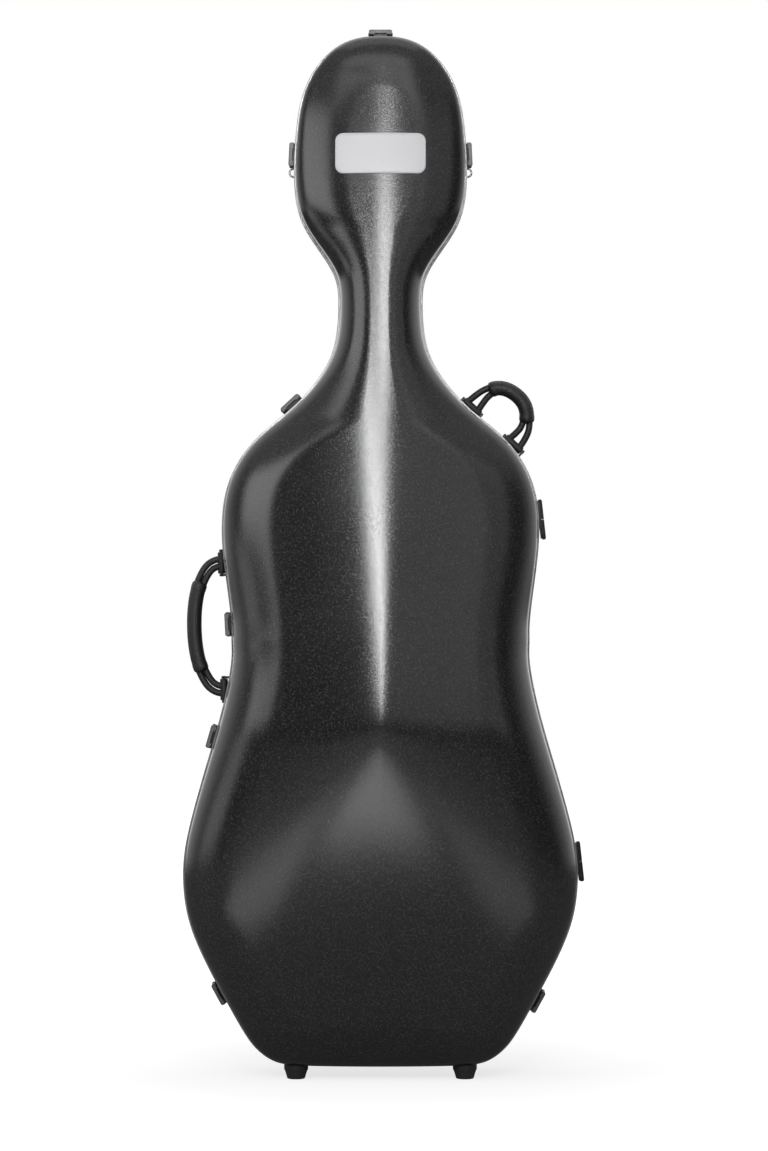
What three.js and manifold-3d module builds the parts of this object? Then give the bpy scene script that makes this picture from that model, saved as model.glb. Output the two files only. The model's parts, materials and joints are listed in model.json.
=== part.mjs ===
// A cello hard case: two moulded shells hinged along the right side, edged with rims, closed
// by eight latches and carried by two handles, with a lined and padded inside.
// Millimetres, +Z up. The lid faces -Y, and the origin is on the ground under the middle.

import * as THREE from 'three';
import { mergeVertices } from 'three/addons/utils/BufferGeometryUtils.js';
import Module from 'manifold-3d';

const wasm = await Module();
wasm.setup();

// Outline of the closed case seen from the front: half widths, and the rise from each
// station to the next
const BASE_CLEARANCE = 13.5;
const LOWER_BOUT_HALF_WIDTH = 254.7;
const LOWER_BOUT_RISE = 244.5;
const WAIST_HALF_WIDTH = 192.3;
const WAIST_RISE = 304;
const UPPER_BOUT_HALF_WIDTH = 204.8;
const UPPER_BOUT_RISE = 148;
const NECK_HALF_WIDTH = 54.4;
const NECK_RISE = 285;
const HEAD_HALF_WIDTH = 111.6;
const HEAD_RISE = 162;
const CROWN_RISE = 186;

// Depths of the two shells, measured from the parting plane
const APEX_DEPTH = 161;
const APEX_ABOVE_LOWER_BOUT = 190;
const HEAD_LID_DEPTH = 62;
const RIDGE_END_ABOVE_HEAD = 133;
const BASE_LID_DEPTH = 73;
const SIDE_FALL_SHARE = 0.22;
const RIDGE_ROUND_WIDTH_AT_APEX = 16;
const RIDGE_ROUND_WIDTH_AT_HEAD = 55;
const APEX_BLEND_WIDTH = 8;
const HIP_BLEND_SHARE = 0.1;
const BACK_BODY_DEPTH = 132;
const BACK_HEAD_DEPTH = 84;
const BACK_TAPER_ABOVE_UPPER_BOUT = 80;
const BACK_TAPER_END_ABOVE_NECK = 15;
const BACK_FALL_SHARE = 0.02;
const BACK_ROUND_WIDTH = 60;

// Walls of the shells
const WALL = 3.2;
const LID_ROLL_WIDTH = 66;
const BACK_ROLL_WIDTH = 46;
const STRAIGHT_EDGE_DEPTH = 14;
const DRAFT_ANGLE = THREE.MathUtils.degToRad(3);
const UPRIGHT_SHARE = 0.6;
const ROLL_LIMIT_SHARE = 0.8;
const SPINE_INSET = 105;
const INNER_RING_SHARES = [0.45, 0.85];
const ROLL_RINGS = 4;
const LINING = 4;
const LINING_GAP = 0.5;
const SEAT_GAP = 0.3;

// Rims that edge both shells, and the seal between them
const RIM_PROUD = 2;
const RIM_LEG = 1.7;
const RIM_DEPTH = 12;
const PARTING_GAP = 3;
const SEAL_INSET = 1.2;
const SEAL_WIDTH = 5.3;

// Latches
const LATCH_LENGTH = 31;
const LATCH_PLATE = 1.5;
const LATCH_PLATE_START = 2.4;
const LATCH_PLATE_END = 18.5;
const PIVOT_DEPTH = 14;
const PIVOT_RISE = 4.3;
const PIVOT_RADIUS = 1.4;
const PIVOT_CLEARANCE = 0.2;
const EAR_RADIUS = 2.4;
const EAR_THICKNESS = 3;
const LEVER_LENGTH = 30;
const LEVER_FRONT = 14;
const LEVER_SHOULDER = 9;
const LEVER_TOP = 7.6;
const LEVER_UNDERSIDE = 5.1;
const LEVER_LIP = 3.6;
const LEVER_BOSS_RADIUS = 2.1;
const LEVER_ROUND = 2;
const HOOK_FACE_DEPTH = 8.4;
const HOOK_THICKNESS = 2.2;
const HOOK_TIP = 2.7;
const HOOK_LENGTH = 15;
const KEEPER_LENGTH = 17;
const KEEPER_START = 3.9;
const KEEPER_END = 11.4;
const KEEPER_RIDGE_FRONT = 8;
const KEEPER_RIDGE_BACK = 5;
const KEEPER_RIDGE_TOP = 4.2;
const LATCH_ABOVE_HEAD = 33;
const LATCH_BELOW_NECK = 130;
const LATCH_ABOVE_WAIST = 22;
const LATCH_BELOW_WAIST = 124;
const LEFT_LATCH_BELOW_LOWER_BOUT = 149;
const RIGHT_LATCH_BELOW_LOWER_BOUT = 159;

// Hinges
const HINGE_LENGTH = 49;
const HINGE_STAND_OFF = 3.4;
const KNUCKLE_RADIUS = 2.9;
const HINGE_PIN_RADIUS = 1.3;
const HINGE_PIN_CLEARANCE = 0.25;
const HINGE_PIN_HEAD_RADIUS = 2.2;
const HINGE_PIN_HEAD = 1.2;
const LEAF_THICKNESS = 1.5;
const LEAF_END = 11.6;
const KNUCKLE_GAP = 0.4;
const UPPER_HINGE_DROP = 15;
const LOWER_HINGE_DROP = 6;

// Carrying handles
const SIDE_HANDLE_SPAN = 165;
const SIDE_HANDLE_RISE = 37;
const SIDE_HANDLE_ABOVE_WAIST = 19;
const SIDE_HANDLE_DEPTH = 56;
const SHOULDER_HANDLE_SPAN = 72;
const SHOULDER_HANDLE_RISE = 49;
const SHOULDER_HANDLE_BELOW_NECK = 157;
const SHOULDER_HANDLE_DEPTH = 44;
const BAR_STAND_OFF = 5;
const BAR_RADIUS = 2;
const BAR_CLEARANCE = 0.3;
const STRAND_RADIUS = 4.3;
const STRAND_SPREAD_AT_GRIP = 4.2;
const SIDE_SPREAD_AT_BAR = 4.8;
const SHOULDER_SPREAD_AT_BAR = 9;
const SLEEVE_RADIUS = 5.2;
const SLEEVE_LENGTH = 28;
const ANCHOR_EAR = 3;
const ANCHOR_EAR_HALF_DEPTH = 5;
const ANCHOR_EAR_TOP = 3.2;
const ANCHOR_PLATE_LENGTH = 38;
const ANCHOR_PLATE_WIDTH = 24;
const ANCHOR_PLATE_THICKNESS = 1.8;
const ANCHOR_BLOCK = 24;
const GRIP_RADIUS = 9.4;

// Feet
const FOOT_SPACING = 217;
const FOOT_TOP_RADIUS = 15.5;
const FOOT_TIP_RADIUS = 12;
const FOOT_ROUND = 3;
const FRONT_FOOT_DEPTH = 28.6;
const REAR_FOOT_DEPTH = 62;
const FOOT_BLANK_HEIGHT = 30;

// Badge plate and strap eyes
const BADGE_WIDTH = 115;
const BADGE_HEIGHT = 52;
const BADGE_CORNER = 10;
const BADGE_THICKNESS = 1.8;
const BADGE_ABOVE_HEAD = 29.2;
const EYE_ABOVE_HEAD = 12;
const EYE_DEPTH = 24;
const EYE_WIRE_RADIUS = 1.3;
const EYE_HALF_SPAN = 5.4;
const EYE_RISE = 6.2;
const EYE_LEG = 16;
const EYE_PLATE_LENGTH = 18;
const EYE_PLATE_WIDTH = 11;
const EYE_PLATE_THICKNESS = 1.6;

// Inside of the back shell
const CRADLE_LENGTH = 80;
const CRADLE_FRONT = 17;
const CRADLE_GROOVE_RADIUS = 23;
const CRADLE_GROOVE_DEPTH = 26;
const NECK_STRAP_WIDTH = 26;
const NECK_STRAP_THICKNESS = 2.4;
const NECK_STRAP_HALF_LENGTH = 38;
const NECK_STRAP_CROWN = 6;
const PAD_FRONT = 22;
const PAD_BACK = 96;
const UPPER_PAD_THICKNESS = 34;
const UPPER_PAD_LENGTH = 150;
const UPPER_PAD_BELOW_UPPER_BOUT = 10;
const BODY_CLEAR_RADIUS = 212;
const BODY_CLEAR_ABOVE_LOWER_BOUT = 40;
const BASE_CUSHION_BELOW_LOWER_BOUT = 22;
const ENDPIN_HOLE_RADIUS = 13;
const ENDPIN_HOLE_DEPTH = 58;

// Inside of the lid
const BOW_REST_HALF_WIDTH = 82;
const BOW_REST_LENGTH = 34;
const BOW_REST_ABOVE_LOWER_BOUT = 42;
const BOW_REST_FACE_DEPTH = 90;
const BOW_SPACING = 104;
const BOW_GROOVE_WIDTH = 16;
const BOW_GROOVE_DEPTH = 13;
const TOGGLE_SPACING = 52;
const TOGGLE_LENGTH = 46;
const TOGGLE_WIDTH = 12;
const TOGGLE_THICKNESS = 5;
const TOGGLE_PIN_RADIUS = 3;
const TOGGLE_PIN_LENGTH = 14;
const POCKET_HALF_WIDTH = 37;
const POCKET_LENGTH = 66;
const POCKET_BELOW_NECK = 20;
const POCKET_FACE_DEPTH = 42;
const SOCKET_SPACING = 36;
const SOCKET_WIDTH = 17;
const SOCKET_THICKNESS = 14;
const SOCKET_DEPTH = 52;
const SOCKET_WALL = 6;

// Fineness of round shapes, and a length that carries a cut through a piece
const FINE_SIDES = 12;
const COARSE_SIDES = 8;
const HOLLOW_SIDES = 40;
const BEND_STEPS = 8;
const CORNER_STEPS = 4;
const STRAND_SIDES = 6;
const HANDLE_STEPS = 16;
const OVERRUN = 200;
const MERGE = 1e-3;

// Everything sits about the parting plane, placed so that the depth is centred
const PARTING = (APEX_DEPTH - BACK_BODY_DEPTH) / 2;

// Heights above the ground, of the stations and of what is placed by them
const LOWER_BOUT = BASE_CLEARANCE + LOWER_BOUT_RISE;
const WAIST = LOWER_BOUT + WAIST_RISE;
const UPPER_BOUT = WAIST + UPPER_BOUT_RISE;
const NECK = UPPER_BOUT + NECK_RISE;
const HEAD = NECK + HEAD_RISE;
const CROWN = HEAD + CROWN_RISE;
const APEX = LOWER_BOUT + APEX_ABOVE_LOWER_BOUT;
const RIDGE_END = HEAD + RIDGE_END_ABOVE_HEAD;
const BACK_TAPER_START = UPPER_BOUT + BACK_TAPER_ABOVE_UPPER_BOUT;
const BACK_TAPER_END = NECK + BACK_TAPER_END_ABOVE_NECK;
const BODY_CLEAR = LOWER_BOUT + BODY_CLEAR_ABOVE_LOWER_BOUT;
const BOW_REST = LOWER_BOUT + BOW_REST_ABOVE_LOWER_BOUT;

const { clamp, lerp, smoothstep } = THREE.MathUtils;

// Colours and finishes
function finish(color, roughness, metalness = 0) {
  return new THREE.MeshStandardMaterial({ color, roughness, metalness });
}
const shellFinish = finish(0x202124, 0.35);
const rimFinish = finish(0x17181a, 0.5);
const rubberFinish = finish(0x101010, 0.85);
const liningFinish = finish(0x2b2c30, 0.95);
const cushionFinish = finish(0x3a3b40, 0.95);
const latchFinish = finish(0x1c1c1e, 0.45);
const leverFinish = finish(0x6e7074, 0.35, 0.6);
const steelFinish = finish(0x8c8e92, 0.3, 0.9);
const blackSteelFinish = finish(0x151516, 0.4, 0.5);
const leatherFinish = finish(0x141414, 0.6);
const badgeFinish = finish(0xc9cace, 0.3, 0.8);

// Outline
const station = (halfWidth, height) => new THREE.Vector2(halfWidth, height);
const base = station(0, BASE_CLEARANCE);
const lowerBout = station(LOWER_BOUT_HALF_WIDTH, LOWER_BOUT);
const waist = station(WAIST_HALF_WIDTH, WAIST);
const upperBout = station(UPPER_BOUT_HALF_WIDTH, UPPER_BOUT);
const neck = station(NECK_HALF_WIDTH, NECK);
const head = station(HEAD_HALF_WIDTH, HEAD);
const top = station(0, CROWN);

// Points between two stations, as shares of the way across and of the way up
const baseShares = [
  [0.353, 0.004], [0.526, 0.024], [0.624, 0.09], [0.699, 0.194],
  [0.801, 0.382], [0.899, 0.579], [0.974, 0.783],
];
const flankShares = [[0.091, 0.178], [0.412, 0.428], [0.78, 0.691], [0.989, 0.901]];
const ribShares = [[0.056, 0.203], [0.656, 0.608]];
const shoulderShares = [
  [0.065, 0.21], [0.285, 0.393], [0.577, 0.526], [0.816, 0.663], [0.963, 0.817],
];
const throatShares = [[0.098, 0.241], [0.482, 0.463], [0.858, 0.698]];
const crownShares = [[0.019, 0.312], [0.095, 0.581], [0.274, 0.796], [0.583, 0.953]];

function between(from, to, shares) {
  return shares.map(([across, up]) => new THREE.Vector2(
    lerp(from.x, to.x, across), lerp(from.y, to.y, up)));
}

const rightHalf = [
  base, ...between(base, lowerBout, baseShares),
  lowerBout, ...between(lowerBout, waist, flankShares),
  waist, ...between(waist, upperBout, ribShares),
  upperBout, ...between(upperBout, neck, shoulderShares),
  neck, ...between(neck, head, throatShares),
  head, ...between(head, top, crownShares),
  top,
];
const leftHalf = rightHalf.slice(1, -1).map((p) => new THREE.Vector2(-p.x, p.y));
const outlinePoints = [...rightHalf.toReversed(), ...leftHalf];

// A smooth closed curve through every outline point: a uniform cubic spline whose control
// points are found by repeated correction
function smoothLoop(points) {
  const count = points.length;
  const controls = points.map((p) => p.clone());
  for (let pass = 0; pass < 60; pass += 1) {
    controls.forEach((control, i) => {
      const before = controls[(i + count - 1) % count];
      const after = controls[(i + 1) % count];
      control.copy(points[i]).multiplyScalar(6).sub(before).sub(after).divideScalar(4);
    });
  }
  const blend = (t, weights) => {
    const start = Math.floor(t);
    const result = new THREE.Vector2();
    weights(t - start).forEach((weight, k) => {
      result.addScaledVector(controls[(start + k - 1 + count) % count], weight);
    });
    return result;
  };
  const pointWeights = (u) => [
    (1 - u) ** 3 / 6, (3 * u ** 3 - 6 * u ** 2 + 4) / 6,
    (-3 * u ** 3 + 3 * u ** 2 + 3 * u + 1) / 6, u ** 3 / 6,
  ];
  const slopeWeights = (u) => [
    -((1 - u) ** 2) / 2, (3 * u ** 2 - 4 * u) / 2, (-3 * u ** 2 + 2 * u + 1) / 2, u ** 2 / 2,
  ];
  return {
    count,
    point: (t) => blend(t, pointWeights),
    along: (t) => blend(t, slopeWeights).normalize(),
  };
}
const outline = smoothLoop(outlinePoints);

// The outline runs clockwise from the top, so outward is to the left of its direction
function outlineFrame(t) {
  const along = outline.along(t);
  return { point: outline.point(t), along, outward: new THREE.Vector2(-along.y, along.x) };
}

// The place on the left (-1) or right (1) side of the outline at a height
function outlineAtHeight(height, side) {
  let above = 0;
  let below = outline.count / 2;
  for (let pass = 0; pass < 40; pass += 1) {
    const middle = (above + below) / 2;
    if (outline.point(middle).y > height) above = middle;
    else below = middle;
  }
  return outlineFrame(side > 0 ? above : outline.count - above);
}

const corners = outlinePoints.map((_, i) => outlineFrame(i));

// Depths of the shells over the front view
function lidDepth(x, z) {
  const along = clamp((z - APEX) / (RIDGE_END - APEX), 0, 1);
  const crest = lerp(APEX_DEPTH, HEAD_LID_DEPTH, along);
  const round = lerp(RIDGE_ROUND_WIDTH_AT_APEX, RIDGE_ROUND_WIDTH_AT_HEAD, along);
  const sides = crest - SIDE_FALL_SHARE * (Math.hypot(x, round) - round);
  const down = (APEX - z) / (APEX - BASE_CLEARANCE);
  const lower = APEX_DEPTH - (APEX_DEPTH - BASE_LID_DEPTH) * down;
  const blend = APEX_BLEND_WIDTH + HIP_BLEND_SHARE * Math.abs(x);
  return (sides + lower - Math.hypot(sides - lower, blend)) / 2;
}

function backDepth(x, z) {
  const taper = smoothstep(z, BACK_TAPER_START, BACK_TAPER_END);
  const fall = BACK_FALL_SHARE * (Math.hypot(x, BACK_ROUND_WIDTH) - BACK_ROUND_WIDTH);
  return lerp(BACK_BODY_DEPTH, BACK_HEAD_DEPTH, taper) - fall;
}

const lidSide = { direction: -1, depth: lidDepth, roll: LID_ROLL_WIDTH };
const backSide = { direction: 1, depth: backDepth, roll: BACK_ROLL_WIDTH };

// Meshes are gathered as loose triangles, then merged into closed bodies
class Skin {
  constructor() {
    this.points = [];
  }

  triangle(...threePoints) {
    threePoints.forEach((p) => this.points.push(p.x, p.y, p.z));
  }

  // A strip between two closed rings with as many points. A flipped strip faces the other
  // way, and is split into the same triangles
  band(first, second, flipped = false) {
    first.forEach((a, i) => {
      const next = (i + 1) % first.length;
      const [b, c, d] = [first[next], second[next], second[i]];
      this.triangle(...(flipped ? [c, b, a] : [a, b, c]));
      this.triangle(...(flipped ? [d, c, a] : [a, c, d]));
    });
    return this;
  }

  fan(ring, centre, flipped = false) {
    ring.forEach((a, i) => {
      const b = ring[(i + 1) % ring.length];
      if (flipped) this.triangle(b, a, centre);
      else this.triangle(a, b, centre);
    });
    return this;
  }

  geometry() {
    const loose = new THREE.BufferGeometry();
    loose.setAttribute('position', new THREE.Float32BufferAttribute(this.points, 3));
    const merged = mergeVertices(loose, MERGE);
    const position = merged.attributes.position;
    const faces = [];
    for (let i = 0; i < merged.index.count; i += 3) {
      const face = [0, 1, 2].map((k) => merged.index.getX(i + k));
      if (new Set(face).size === 3) faces.push(face);
    }
    const [a, b, c] = [0, 1, 2].map(() => new THREE.Vector3());
    let volume = 0;
    faces.forEach((face) => {
      [a, b, c].forEach((corner, k) => corner.fromBufferAttribute(position, face[k]));
      volume += a.dot(b.cross(c));
    });
    merged.setIndex((volume < 0 ? faces.map((face) => face.toReversed()) : faces).flat());
    return merged;
  }
}

// Joins and cuts
function solid(geometry) {
  const bare = geometry.index ? geometry.clone() : mergeVertices(geometry, MERGE);
  Object.keys(bare.attributes).filter((name) => name !== 'position')
    .forEach((name) => bare.deleteAttribute(name));
  const merged = mergeVertices(bare, MERGE);
  return new wasm.Manifold(new wasm.Mesh({
    numProp: 3,
    vertProperties: new Float32Array(merged.attributes.position.array),
    triVerts: new Uint32Array(merged.index.array),
  }));
}

function shape(body) {
  const mesh = body.getMesh();
  const geometry = new THREE.BufferGeometry();
  geometry.setAttribute('position', new THREE.Float32BufferAttribute(mesh.vertProperties, 3));
  geometry.setIndex([...mesh.triVerts]);
  return geometry;
}

function join(...bodies) {
  return bodies.reduce((whole, body) => whole.add(body));
}

// A box between two corners
function block(low, high) {
  const size = high.map((value, axis) => value - low[axis]);
  const centre = high.map((value, axis) => (value + low[axis]) / 2);
  return solid(new THREE.BoxGeometry(...size).translate(...centre));
}

// A round bar between two places along one axis, 0 for X, 1 for Y and 2 for Z
function bar(axis, from, to, radius, centre, sides = FINE_SIDES) {
  const geometry = new THREE.CylinderGeometry(radius, radius, to - from, sides);
  if (axis === 0) geometry.rotateZ(-Math.PI / 2);
  if (axis === 2) geometry.rotateX(Math.PI / 2);
  const middle = (from + to) / 2;
  const place = [...centre];
  place.splice(axis, 0, middle);
  return solid(geometry.translate(...place));
}

// A profile of [depth, rise] pairs, extruded along local X and centred there
function extrudeAlongX(points, length) {
  const outlineShape = new THREE.Shape(points.map(([y, z]) => new THREE.Vector2(y, z)));
  const geometry = new THREE.ExtrudeGeometry(outlineShape, {
    depth: length, bevelEnabled: false, curveSegments: COARSE_SIDES,
  });
  geometry.translate(0, 0, -length / 2);
  const turn = new THREE.Matrix4().makeBasis(
    new THREE.Vector3(0, 1, 0), new THREE.Vector3(0, 0, 1), new THREE.Vector3(1, 0, 0));
  return solid(geometry.applyMatrix4(turn));
}

// Shell surfaces: rings of points from the edge, up the wall, over the roll, to the spine
const SPINE_LOW = BASE_CLEARANCE + SPINE_INSET;
const SPINE_HIGH = CROWN - SPINE_INSET;
const EDGE_START = PARTING_GAP / 2 + RIM_LEG + SEAT_GAP;

function shellSection(corner, side) {
  const edge = corner.point.clone().addScaledVector(corner.outward, -RIM_PROUD);
  const spine = new THREE.Vector2(0, clamp(edge.y, SPINE_LOW, SPINE_HIGH));
  const inward = spine.clone().sub(edge).normalize();
  const squareness = -inward.dot(corner.outward);
  const reach = edge.distanceTo(spine);
  const wallTop = UPRIGHT_SHARE * side.depth(edge.x, edge.y);
  const rollStart = ((wallTop - STRAIGHT_EDGE_DEPTH) * Math.tan(DRAFT_ANGLE)) / squareness;
  const roll = Math.min(side.roll / squareness, ROLL_LIMIT_SHARE * (reach - rollStart));
  const place = (distance, height) => {
    const flat = edge.clone().addScaledVector(inward, distance);
    const rise = height(flat);
    return new THREE.Vector3(flat.x, PARTING + side.direction * rise, flat.y);
  };
  const section = [place(0, () => EDGE_START), place(0, () => STRAIGHT_EDGE_DEPTH),
    place(rollStart, () => wallTop)];
  for (let k = 1; k <= ROLL_RINGS; k += 1) {
    const turn = (k / ROLL_RINGS) * (Math.PI / 2);
    section.push(place(rollStart + roll * (1 - Math.cos(turn)),
      (flat) => lerp(wallTop, side.depth(flat.x, flat.y), Math.sin(turn))));
  }
  const rest = reach - rollStart - roll;
  [...INNER_RING_SHARES, 1].forEach((share) => {
    section.push(place(rollStart + roll + rest * share, (flat) => side.depth(flat.x, flat.y)));
  });
  return section;
}

// Outward directions at every point of a shell surface
function shellNormals(rings, side) {
  const normals = rings.map((ring) => ring.map(() => new THREE.Vector3()));
  for (let j = 0; j + 1 < rings.length; j += 1) {
    rings[j].forEach((a, i) => {
      const next = (i + 1) % corners.length;
      const across = rings[j + 1][next].clone().sub(a);
      const other = rings[j + 1][i].clone().sub(rings[j][next]);
      const face = across.cross(other).multiplyScalar(side.direction);
      [[j, i], [j, next], [j + 1, i], [j + 1, next]].forEach(([row, column]) => {
        normals[row][column].add(face);
      });
    });
  }
  const step = MERGE * APEX_DEPTH;
  normals.forEach((row, j) => row.forEach((normal, i) => {
    if (j < 2) normal.set(corners[i].outward.x, 0, corners[i].outward.y);
    if (j === rings.length - 1) {
      const { z } = rings[j][i];
      const slope = (side.depth(0, z + step) - side.depth(0, z - step)) / (2 * step);
      normal.set(0, side.direction, -slope);
    }
    normal.normalize();
  }));
  return normals;
}

function surveyShell(side) {
  const sections = corners.map((corner) => shellSection(corner, side));
  const rings = sections[0].map((_, j) => sections.map((section) => section[j]));
  return { ...side, rings, normals: shellNormals(rings, side) };
}
const lidSurvey = surveyShell(lidSide);
const backSurvey = surveyShell(backSide);

// The rings of a surface that lies a distance inside the outer one
const ALL_RINGS = [0, 1, 2, 3, 4, 5, 6, 7, 8, 9];
const INNER_RINGS = [0, 1, 2, 4, 6, 8, 9];
const LINING_RINGS = INNER_RINGS.slice(1);

function insetRings(survey, distance, chosen) {
  return chosen.map((j) => survey.rings[j].map(
    (p, i) => p.clone().addScaledVector(survey.normals[j][i], -distance)));
}

function addRings(skin, rings, flipped = false) {
  rings.slice(1).forEach((ring, j) => skin.band(rings[j], ring, flipped));
  return skin;
}

// A thin shell between two insets of the outer surface
function shellBetween(survey, outer, inner, outerChosen, innerChosen) {
  const outside = insetRings(survey, outer, outerChosen);
  const inside = insetRings(survey, inner, innerChosen);
  const skin = new Skin();
  addRings(skin, outside);
  addRings(skin, inside, true);
  skin.band(inside[0], outside[0]);
  return skin.geometry();
}

// The whole space within an inset of the outer surface, closed by a flat face
function spaceWithin(survey, distance, chosen) {
  const rings = insetRings(survey, distance, chosen);
  const lid = rings[0].map((p, i) => {
    const spine = rings.at(-1)[i];
    return new THREE.Vector3(spine.x, p.y, spine.z);
  });
  return solid(addRings(new Skin(), [lid, ...rings]).geometry());
}
const around = (survey, distance) => spaceWithin(survey, -distance, ALL_RINGS);
const LINED = WALL + LINING_GAP + LINING + LINING_GAP;
const backRoom = spaceWithin(backSurvey, LINED, LINING_RINGS);
const lidRoom = spaceWithin(lidSurvey, LINED, LINING_RINGS);
const backSeat = around(backSurvey, SEAT_GAP);
const lidSeat = around(lidSurvey, SEAT_GAP);

// A profile of [outward, depth] pairs carried round the outline
function aroundOutline(profile, direction) {
  const rings = profile.map(([out, depth]) => corners.map(({ point, outward }) => {
    const flat = point.clone().addScaledVector(outward, out);
    return new THREE.Vector3(flat.x, PARTING + direction * depth, flat.y);
  }));
  return addRings(new Skin(), [...rings, rings[0]]).geometry();
}

const rimInner = -(RIM_PROUD + WALL + SEAT_GAP);
const rimProfile = [
  [0, PARTING_GAP / 2], [0, RIM_DEPTH], [-RIM_LEG, RIM_DEPTH],
  [-RIM_LEG, PARTING_GAP / 2 + RIM_LEG], [rimInner, PARTING_GAP / 2 + RIM_LEG],
  [rimInner, RIM_DEPTH], [rimInner - RIM_LEG, RIM_DEPTH], [rimInner - RIM_LEG, PARTING_GAP / 2],
];
const sealHalf = PARTING_GAP / 2 - SEAT_GAP;
const sealProfile = [
  [-SEAL_INSET, -sealHalf], [-SEAL_INSET, sealHalf],
  [-SEAL_INSET - SEAL_WIDTH, sealHalf], [-SEAL_INSET - SEAL_WIDTH, -sealHalf],
];

// The assembled case
const group = new THREE.Group();

function add(name, geometry, material, parent = group) {
  const mesh = new THREE.Mesh(geometry, material);
  mesh.name = name;
  parent.add(mesh);
  return mesh;
}

// Shells, rims, seal and linings
add('back_shell', shellBetween(backSurvey, 0, WALL, ALL_RINGS, INNER_RINGS), shellFinish);
add('lid_shell', shellBetween(lidSurvey, 0, WALL, ALL_RINGS, INNER_RINGS), shellFinish);
add('back_rim', aroundOutline(rimProfile, 1), rimFinish);
add('lid_rim', aroundOutline(rimProfile, -1), rimFinish);
add('rim_seal', aroundOutline(sealProfile, 1), rubberFinish);
const liningOuter = WALL + LINING_GAP;
for (const [name, survey] of [['back_lining', backSurvey], ['lid_lining', lidSurvey]]) {
  const geometry = shellBetween(survey, liningOuter, liningOuter + LINING,
    LINING_RINGS, LINING_RINGS);
  add(name, geometry, liningFinish);
}

// A frame on the outline: local X along the rim, Y backwards, Z outward
function rimGroup(frame, depth = 0, outward = 0) {
  const holder = new THREE.Group();
  const { point, along, outward: out } = frame;
  holder.position.set(point.x + out.x * outward, PARTING + depth, point.y + out.y * outward);
  holder.quaternion.setFromRotationMatrix(new THREE.Matrix4().makeBasis(
    new THREE.Vector3(along.x, 0, along.y), new THREE.Vector3(0, 1, 0),
    new THREE.Vector3(out.x, 0, out.y)));
  group.add(holder);
  holder.updateMatrixWorld(true);
  return holder;
}

// How far the faceted rim stands out of a frame's plane within a length along it
function rimStandOff(frame, length) {
  const slices = 20;
  let highest = -OVERRUN;
  corners.forEach(({ point }, i) => {
    const next = corners[(i + 1) % corners.length].point;
    for (let k = 0; k <= slices; k += 1) {
      const offset = point.clone().lerp(next, k / slices).sub(frame.point);
      const near = Math.abs(offset.dot(frame.along)) <= length / 2;
      if (near && offset.length() < length) {
        highest = Math.max(highest, offset.dot(frame.outward));
      }
    }
  });
  return highest;
}

// Latch: a base with two ears on the back rim, a lever that turns in them, and a keeper on
// the lid rim that the lever's hook draws in
function latchBase() {
  const ear = (from) => {
    const upright = block([from, PIVOT_DEPTH - EAR_RADIUS, SEAT_GAP],
      [from + EAR_THICKNESS, PIVOT_DEPTH + EAR_RADIUS, PIVOT_RISE]);
    const round = bar(0, from, from + EAR_THICKNESS, EAR_RADIUS, [PIVOT_DEPTH, PIVOT_RISE],
      COARSE_SIDES);
    return upright.add(round);
  };
  const plate = block([-LATCH_LENGTH / 2, LATCH_PLATE_START, SEAT_GAP],
    [LATCH_LENGTH / 2, LATCH_PLATE_END, SEAT_GAP + LATCH_PLATE]);
  const bore = bar(0, -LATCH_LENGTH, LATCH_LENGTH, PIVOT_RADIUS + PIVOT_CLEARANCE,
    [PIVOT_DEPTH, PIVOT_RISE], COARSE_SIDES);
  return join(plate, ear(-LATCH_LENGTH / 2), ear(LATCH_LENGTH / 2 - EAR_THICKNESS)).subtract(bore);
}

// The lever's own frame has its origin on the pivot
function latchLever() {
  const rear = LATCH_LENGTH - 2 * (EAR_THICKNESS + SEAT_GAP);
  const crown = LEVER_TOP - PIVOT_RISE;
  const under = LEVER_UNDERSIDE - PIVOT_RISE;
  const front = -(PIVOT_DEPTH + LEVER_FRONT);
  const shoulder = -(PIVOT_DEPTH - LEVER_SHOULDER);
  const plate = extrudeAlongX([
    [shoulder, crown], [shoulder, under], [front + LEVER_ROUND, under],
    [front + LEVER_ROUND / 2, LEVER_LIP - PIVOT_RISE], [front, LEVER_LIP - PIVOT_RISE],
    [front, crown - LEVER_ROUND], [front + LEVER_ROUND, crown],
  ], LEVER_LENGTH);
  const arm = extrudeAlongX([
    [0, LEVER_BOSS_RADIUS], [0, -LEVER_BOSS_RADIUS / 2], [shoulder - LEVER_ROUND, under],
    [shoulder - LEVER_ROUND, crown],
  ], rear);
  const boss = bar(0, -rear / 2, rear / 2, LEVER_BOSS_RADIUS, [0, 0], COARSE_SIDES);
  const half = LATCH_LENGTH / 2;
  const trunnion = bar(0, -half, half, PIVOT_RADIUS, [0, 0], COARSE_SIDES);
  const hookFace = -(PIVOT_DEPTH + HOOK_FACE_DEPTH);
  const hook = block([-HOOK_LENGTH / 2, hookFace - HOOK_THICKNESS, HOOK_TIP - PIVOT_RISE],
    [HOOK_LENGTH / 2, hookFace, (under + crown) / 2]);
  return join(plate, arm, boss, trunnion, hook);
}

function latchKeeper() {
  return extrudeAlongX([
    [-KEEPER_START, SEAT_GAP], [-KEEPER_START, SEAT_GAP + LATCH_PLATE],
    [-KEEPER_RIDGE_BACK, SEAT_GAP + LATCH_PLATE], [-KEEPER_RIDGE_BACK, KEEPER_RIDGE_TOP],
    [-KEEPER_RIDGE_FRONT, KEEPER_RIDGE_TOP], [-KEEPER_RIDGE_FRONT, SEAT_GAP + LATCH_PLATE],
    [-KEEPER_END, SEAT_GAP + LATCH_PLATE], [-KEEPER_END, SEAT_GAP],
  ], KEEPER_LENGTH);
}

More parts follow.
